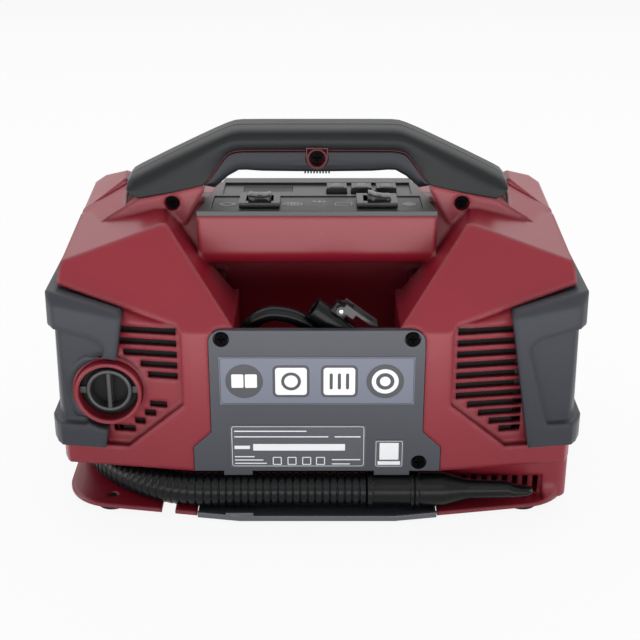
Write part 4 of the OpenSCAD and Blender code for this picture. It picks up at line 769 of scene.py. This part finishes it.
BAND_ROUND = [(14.5, 0), (15.5, 0.06), (15.8, 0.3), (15.4, 0.62), (14.7, 0.84), (12.4, 0.96), (8.6, 1)]


# %% Sections of the grips
def along(a, b, share):
    """The point part of the way from a to b."""
    return a[0] + (b[0] - a[0]) * share, a[1] + (b[1] - a[1]) * share


def both_ways(stations):
    """The half and its mirror image, as one row of sections from end to end."""
    return [[(-x, y, z) for x, y, z in s] for s in reversed(stations[1:])] + stations


def pad_section(i, front):
    top, edge, low = PAD_TOP[i], PAD_EDGE[i], PAD_LOW[i]
    side = 1 if front else -1
    low_y = 15.0 if i < 8 else 17
    line = [(*top, 9)]
    if front:
        outer = OUTER_ROUND
    else:
        sunk = along(top, low, 0.05)
        line += [(*top, -2.5), (*sunk, -2.7), (*sunk, -3.3)]
        outer = [(3.5, 0), (9, 0.03), *OUTER_ROUND[1:]]
    line += [(*along(top, edge, f), side * y) for y, f in outer] + [(*low, side * low_y), (*low, side * 13)]
    line += [(*along(low, top, f), side * 12.4) for f in (0.10, 0.78)] + [(*along(top, low, 0.14), 9)]
    return [(x, y, z) for x, z, y in line]


def band_section(i, front):
    top, low = BAND_TOP[i], BAND_LOW[i]
    side = 1 if front else -1
    line = [(*along(top, low, f), side * y) for y, f in BAND_ROUND] + [(*low, 9), (*along(low, top, 0.14), 9)]
    line += [(*along(low, top, 0.14), side * 11.5), (*top, side * 11.5)]
    return [(x, y, z) for x, z, y in line]


# %% Loft the grips
SCREW_Z = 196.5                      # height of the handle screw


def drill(piece, z, radius, y0, y1):
    """Cuts a round hole along Y with a Boolean."""
    cutter = solid_mesh("drill", [raised(disc(0, z, radius, 48), y0, y1, lambda u, v, w: (u, w, v))])
    cut = piece.modifiers.new("hole", "BOOLEAN")
    cut.operation, cut.solver, cut.object = "DIFFERENCE", "EXACT", cutter
    keep_result(piece, cut)
    bpy.data.objects.remove(cutter)


for front, node in ((False, "handle_grip_rear"), (True, "handle_grip_front")):
    pad = lofted(both_ways([pad_section(i, front) for i in range(len(PAD_TOP))]))
    band = lofted(both_ways([band_section(i, front) for i in range(len(BAND_TOP))]))
    name = "grip_front" if front else "grip_rear"
    pad_piece = add_piece(name, [pad], "grip_rubber", finish["grip_rubber"], replaces=(node,))
    band_piece = add_piece(name + "_band", [band], "grip_rubber", finish["grip_band"])
    for piece in (pad_piece, band_piece):
        if not front:
            drill(piece, SCREW_Z, 6.5, -20, -8)
        smooth_by_angle(piece, 38)
    print(name, len(pad_piece.data.polygons) + len(band_piece.data.polygons), "faces")


# %% Red line, and the boss of the handle screw
def tube_along(line, radius, sides=8):
    """A thin round strip through points in mm."""
    sections = []
    for i, p in enumerate(line):
        before, after = Vector(line[max(i - 1, 0)]), Vector(line[min(i + 1, len(line) - 1)])
        ahead = (after - before).normalized()
        side = ahead.cross(Vector((0, 1, 0))).normalized()
        up = side.cross(ahead)
        sections.append([tuple(Vector(p) + radius * (math.cos(math.tau * k / sides) * side
                                                     + math.sin(math.tau * k / sides) * up)) for k in range(sides)])
    return lofted(sections)


LINE_RADIUS, LINE_Y = 0.45, 15.0
red_lines = []
for side in (-1, 1):
    half = [(x, side * LINE_Y, z) for x, z in map(lambda a, b: along(a, b, 0.5), PAD_LOW, BAND_TOP) if x > 6.6]
    flat = [(6.8, side * LINE_Y, 201.25), (32.0, side * LINE_Y, 201.2)]
    for line in (half, flat):
        mirrored = [(-x, y, z) for x, y, z in reversed(line)]
        red_lines += [tube_along(mirrored, LINE_RADIUS), tube_along(line, LINE_RADIUS)]
# The red line takes the darkened red, painted shade for the crease it lies in.
smooth_by_angle(add_piece("grip_red_line", red_lines, "red_plastic", finish["red_trim"]), 50)


def on_boss(u, v, w):
    return (u, -w, SCREW_Z + v)


ring = [(4.6, 9.0), (6.2, 9.0), (6.2, 16.2), (5.9, 16.7), (5.2, 16.7), (4.8, 16.5), (4.6, 16.0)]
hood = [(-6.4, 0), (-6.4, 6.7), (6.4, 6.7), (6.4, 0), (5.6, 0), (5.6, 5.7), (-5.6, 5.7), (-5.6, 0)]
boss = [turned(ring, on_boss, 40), raised(hood, 14.0, 16.4, on_boss)]
# The boss takes the darkened red too, painted shade under the overhanging grip.
smooth_by_angle(add_piece("handle_boss", boss, "red_plastic", finish["red_trim"]), 40)
print(len(red_lines), "red strips and the boss")


# %% [markdown]
# ## Rows of small blocks
# Under the boss the core shows a comb of small teeth. One Geometry Nodes tree puts a block on each
# point of a line, so a row is a count and three vectors, and its blocks become one plain mesh.

# %% The row tree
def row_tree():
    tree = build_tree("row of blocks", "GeometryNodeTree",
                      [("Count", "NodeSocketInt", 9), ("Start", "NodeSocketVector", None),
                       ("Step", "NodeSocketVector", None), ("Block", "NodeSocketVector", None),
                       ("Material", "NodeSocketMaterial", None)], [("Row", "NodeSocketGeometry", None)])
    value = tree_inputs(tree)
    points = add_node(tree, "GeometryNodeMeshLine", {"mode": "OFFSET"},
                      {"Count": value["Count"], "Start Location": value["Start"], "Offset": value["Step"]})
    block = add_node(tree, "GeometryNodeMeshCube", {}, {"Size": value["Block"]})
    placed = add_node(tree, "GeometryNodeInstanceOnPoints", {},
                      {"Points": Wire(points.outputs[0]), "Instance": Wire(block.outputs[0])})
    return end_tree(tree, placed, value["Material"], "Row")


# %% The comb
comb = mesh_from_points("grip_comb", [(0, 0, 0)])
run_tree(comb, row_tree(), Count=9, Start=[c * MM for c in (-7.0, -8.0, 186.5)], Step=[c * MM for c in (1.75, 0, 0)],
         Block=[c * MM for c in (0.95, 1.6, 2.0)], Material=finish["grip_rubber"])
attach(comb, "body")
print("comb of", len(comb.data.polygons) // 6, "teeth")


# %% [markdown]
# ## Marks on the panel
# The panel slopes a little towards the far side, and its fascia carries small printed marks beside
# the switches. A helper places everything by its position on the panel and its height above it, as
# the CAD does.

# %% Places on the sloping panel
PANEL_Y, PANEL_Z, PANEL_FALL = -32.0, 170.0, 4.0 / 77.0
tilt = -math.atan(PANEL_FALL)


def on_panel(u, v, w):
    """u across, v along the slope, w above the panel's top, all in mm."""
    return (u, PANEL_Y + (v - PANEL_Y) * math.cos(tilt) - w * math.sin(tilt),
            PANEL_Z + (v - PANEL_Y) * math.sin(tilt) + w * math.cos(tilt))


# %% Marks beside the switches
FASCIA, MARK_ROW = -0.7, -14.0       # depth of the fascia, and the line that the marks stand on
PALE, DARK = (FASCIA - 0.05, FASCIA + 0.12), (FASCIA + 0.12, FASCIA + 0.17)
panel_marks = [raised(ellipse(u, MARK_ROW, half, 3.6), *PALE, on_panel)
               for u, half in ((-52.6, 5.0), (-14.4, 6.2), (54.0, 4.2))]
panel_marks += [raised(rounded_box(u - 1.0, u + 1.0, -9.4, -7.4, 0.3), *PALE, on_panel) for u in (-1.6, 1.4, 4.4)]
panel_marks.append(frame_shape(10.4, 20.6, -17.4, -10.6, 1.2, 0.5, *PALE, on_panel))
inner = [raised(half_round(u, u + 1.0, MARK_ROW - 2, MARK_ROW + 2), *DARK, on_panel)
         for u in (-18.6, -16.6, -14.6, -12.6, -10.6)]
inner.append(raised(ellipse(-52.6, MARK_ROW, 2.8, 1.9), *DARK, on_panel))
add_piece("fascia_marks_pale", panel_marks, "label", finish["ink_pale"])
add_piece("fascia_marks_dark", inner, "label_dark", finish["ink_dark"])
print(len(panel_marks) + len(inner), "marks")


# %% [markdown]
# ## Button inlays
# Each of the three buttons carries a dark glossy inlay with a small pale bar. It moves with its
# button, so it is one piece for each moving body.

# %% Inlays that ride on the buttons
BUTTON_Y, BUTTON_TOP = 17.0, 2.6
for name, x in (("minus", 11.9), ("plus", 26.9), ("unit", 41.9)):
    dark = rounded_box(x - 4.4, x + 4.4, BUTTON_Y - 4.6, BUTTON_Y - 0.2, 0.5)
    bar = rounded_box(x - 2.2, x + 2.2, BUTTON_Y + 2.2, BUTTON_Y + 3.0, 0.2)
    add_piece("inlay_" + name, [raised(dark, BUTTON_TOP - 0.1, BUTTON_TOP + 0.25, on_panel)], "switch_plastic",
              body="key_" + name)
    add_piece("mark_" + name, [raised(bar, BUTTON_TOP - 0.1, BUTTON_TOP + 0.08, on_panel)], "label",
              finish["ink_pale"], body="key_" + name)
    print("button", name, "at", x)


# %% [markdown]
# ## Rocker paddles
# A rocker is one moulded paddle with a dished top, so a finger finds the raised ends without
# looking. Its section across the tilt is drawn once, lofted along the pin, and turned to the angle
# at which that rocker rests; both ends of the loft are drawn in a little, like a moulded edge.

# %% Loft the paddles
ROCKER_Y, PIVOT_DEPTH = -14.0, 3.0
PADDLE = [(-6.7, -4.0), (6.7, -4.0), (6.7, 8.0), (6.55, 8.6), (6.0, 8.9), (5.0, 8.75), (3.5, 8.45), (1.8, 8.25),
          (0, 8.2), (-1.8, 8.25), (-3.5, 8.45), (-5.0, 8.75), (-6.0, 8.9), (-6.55, 8.6), (-6.7, 8.0)]


def at_rocker(x_place, degrees):
    """Places a point of the rocker, given about its pivot, at the rocker's angle on the panel."""
    c, s = math.cos(math.radians(degrees)), math.sin(math.radians(degrees))
    return lambda x, y, z: on_panel(x_place + x * c + z * s, ROCKER_Y + y, z * c - x * s - PIVOT_DEPTH)


# Place along the pin, share of the width, and how far the top drops.
ENDS = [(-6.1, 0.93, 0.6), (-5.7, 0.985, 0.15), (-5.0, 1, 0)]
ENDS += [(-y, width, drop) for y, width, drop in reversed(ENDS)]
for name, x_place, degrees in (("left", -33.5, 0.0), ("right", 35.0, 10.0)):
    at = at_rocker(x_place, degrees)
    sections = [[at(x * width, y, z if z < 0 else z - drop) for x, z in PADDLE] for y, width, drop in ENDS]
    pin = turned([(0.01, -8.5), (2.0, -8.5), (2.0, 8.5), (0.01, 8.5)], lambda u, v, w: at(u, w, v), 24)
    ribs = [raised(half_round(u - 0.35, u + 0.35, -3.2, 3.2), 8.0, 8.5, at) for u in (-1.1, 0.0, 1.1)]
    paddle = add_piece("paddle_" + name, [lofted(sections), pin, *ribs], "switch_plastic", body="switch_" + name,
                       replaces=("rocker_" + name,))
    smooth_by_angle(paddle, 40)
    print(paddle.name, len(paddle.data.polygons), "faces")


# %% [markdown]
# ## Bumper trim
# The bumpers are thick soft mouldings that curve in towards the ports and end there in a smooth
# collar. The collar is an arc with a rounded section, lofted round the port on both long faces.

# %% Collars of the left bumper
COLLAR = [(20.2, 70.0), (20.2, 77.6), (20.8, 78.8), (22.0, 79.3), (24.4, 78.9), (26.4, 77.6), (27.4, 76.0),
          (27.4, 70.0)]              # radius and depth of each point of the section


def collar_section(k, face):
    """Section k of 32 round the port. It shrinks towards both ends, and falls back with the field."""
    angle, ease = math.radians(102 + 136 * k / 32), min(1.0, min(k, 32 - k) / 4)
    fall = FIELD_SLOPE * max(0.0, -24 * math.cos(angle))
    section = []
    for radius, depth in COLLAR:
        radius, depth = 20.2 + (radius - 20.2) * (0.35 + 0.65 * ease), depth - 1.4 * (1 - ease)
        section.append((PORT_X + radius * math.cos(angle), face * (depth - fall), PORT_Z + radius * math.sin(angle)))
    return section


collars = [lofted([collar_section(k, face) for k in range(33)]) for face in (-1, 1)]
smooth_by_angle(add_piece("bumper_port_collars", collars, "bumper_plastic", finish["bumper_trim"]), 40)
print(len(collars), "collars")


# %% [markdown]
# ## Light, floor and background
# Catalogue pictures are lit by large soft boxes in a white room. The world is white to the camera and
# to reflections and dimmer as a lamp. Two wide soft boxes in front light the faces that the camera
# sees, one above lights the roof, two at the sides draw the edges, and two glowing cards on the floor
# lift the undersides. The floor is white too, and keeps a faint shadow.

# %% White room
def seen_directly(tree):
    """1 for rays from the camera, a reflection or glass, and 0 for the rays that bring light."""
    ray = add_node(tree, "ShaderNodeLightPath").outputs
    return (Wire(ray["Is Camera Ray"]) + Wire(ray["Is Glossy Ray"])
            + Wire(ray["Is Transmission Ray"])).math("MINIMUM", 1.0)


world = bpy.data.worlds.new("white room")
bpy.context.scene.world = world
world.use_nodes = True
sky = world.node_tree.nodes["Background"]
AMBIENT = 0.12
glow = seen_directly(world.node_tree) * (1 - AMBIENT) + AMBIENT
world.node_tree.links.new(glow.socket, sky.inputs["Strength"])
sky.inputs["Color"].default_value = (1, 1, 1, 1)


def white_floor():
    """White to the camera, with a tenth of its look from the scene's light, so that a faint shadow stays."""
    material = bpy.data.materials.new("white floor")
    material.use_nodes = True
    tree = material.node_tree
    shader = tree.nodes["Principled BSDF"]
    shader.inputs["Base Color"].default_value = (0.86, 0.86, 0.86, 1)
    shader.inputs["Roughness"].default_value = 0.9
    shader.inputs["Specular IOR Level"].default_value = 0.1
    lit = add_node(tree, "ShaderNodeEmission", {}, {"Color": (1, 1, 1, 1), "Strength": 1.0})
    mix = add_node(tree, "ShaderNodeMixShader", {},
                   {0: seen_directly(tree) * 0.90, 1: Wire(shader.outputs[0]), 2: Wire(lit.outputs[0])})
    tree.links.new(mix.outputs[0], tree.nodes["Material Output"].inputs["Surface"])
    return material


floor = mesh_from_points("floor", [(-6, -6, 0), (6, -6, 0), (6, 6, 0), (-6, 6, 0)], (), [(0, 1, 2, 3)])
floor.data.materials.append(white_floor())


# %% Soft boxes
def soft_box(name, place, target, size, watts):
    data = bpy.data.lights.new(name, "AREA")
    data.shape, data.size, data.size_y, data.energy = "RECTANGLE", *size, watts
    return aimed(name, data, place, target)


lamps = [soft_box("low front box", (0.0, -1.3, 0.18), (0, 0, 0.08), (2.4, 0.30), 8),
         soft_box("high front box", (0.0, -1.2, 1.15), (0, 0, 0.10), (1.6, 0.7), 3),
         soft_box("top box", (0.0, 0.75, 1.4), (0, 0, 0.1), (3.0, 1.6), 26),
         soft_box("left box", (-1.3, -0.10, 0.45), (0, 0, 0.12), (0.6, 0.8), 6),
         soft_box("right box", (1.3, -0.10, 0.45), (0, 0, 0.12), (0.6, 0.8), 6),
         soft_box("front floor card", (0.0, -0.75, 0.004), (0, -0.75, 1.0), (2.0, 0.9), 18),
         soft_box("back floor card", (0.0, 0.75, 0.004), (0, 0.75, 1.0), (2.0, 0.9), 6)]
for lamp in lamps[-2:]:
    lamp.visible_camera = False
print(len(lamps), "soft boxes")


# %% [markdown]
# ## View transform
# The view transform is Standard, so a colour renders as it is written.

# %% Finish
bpy.context.scene.view_settings.view_transform = "Standard"
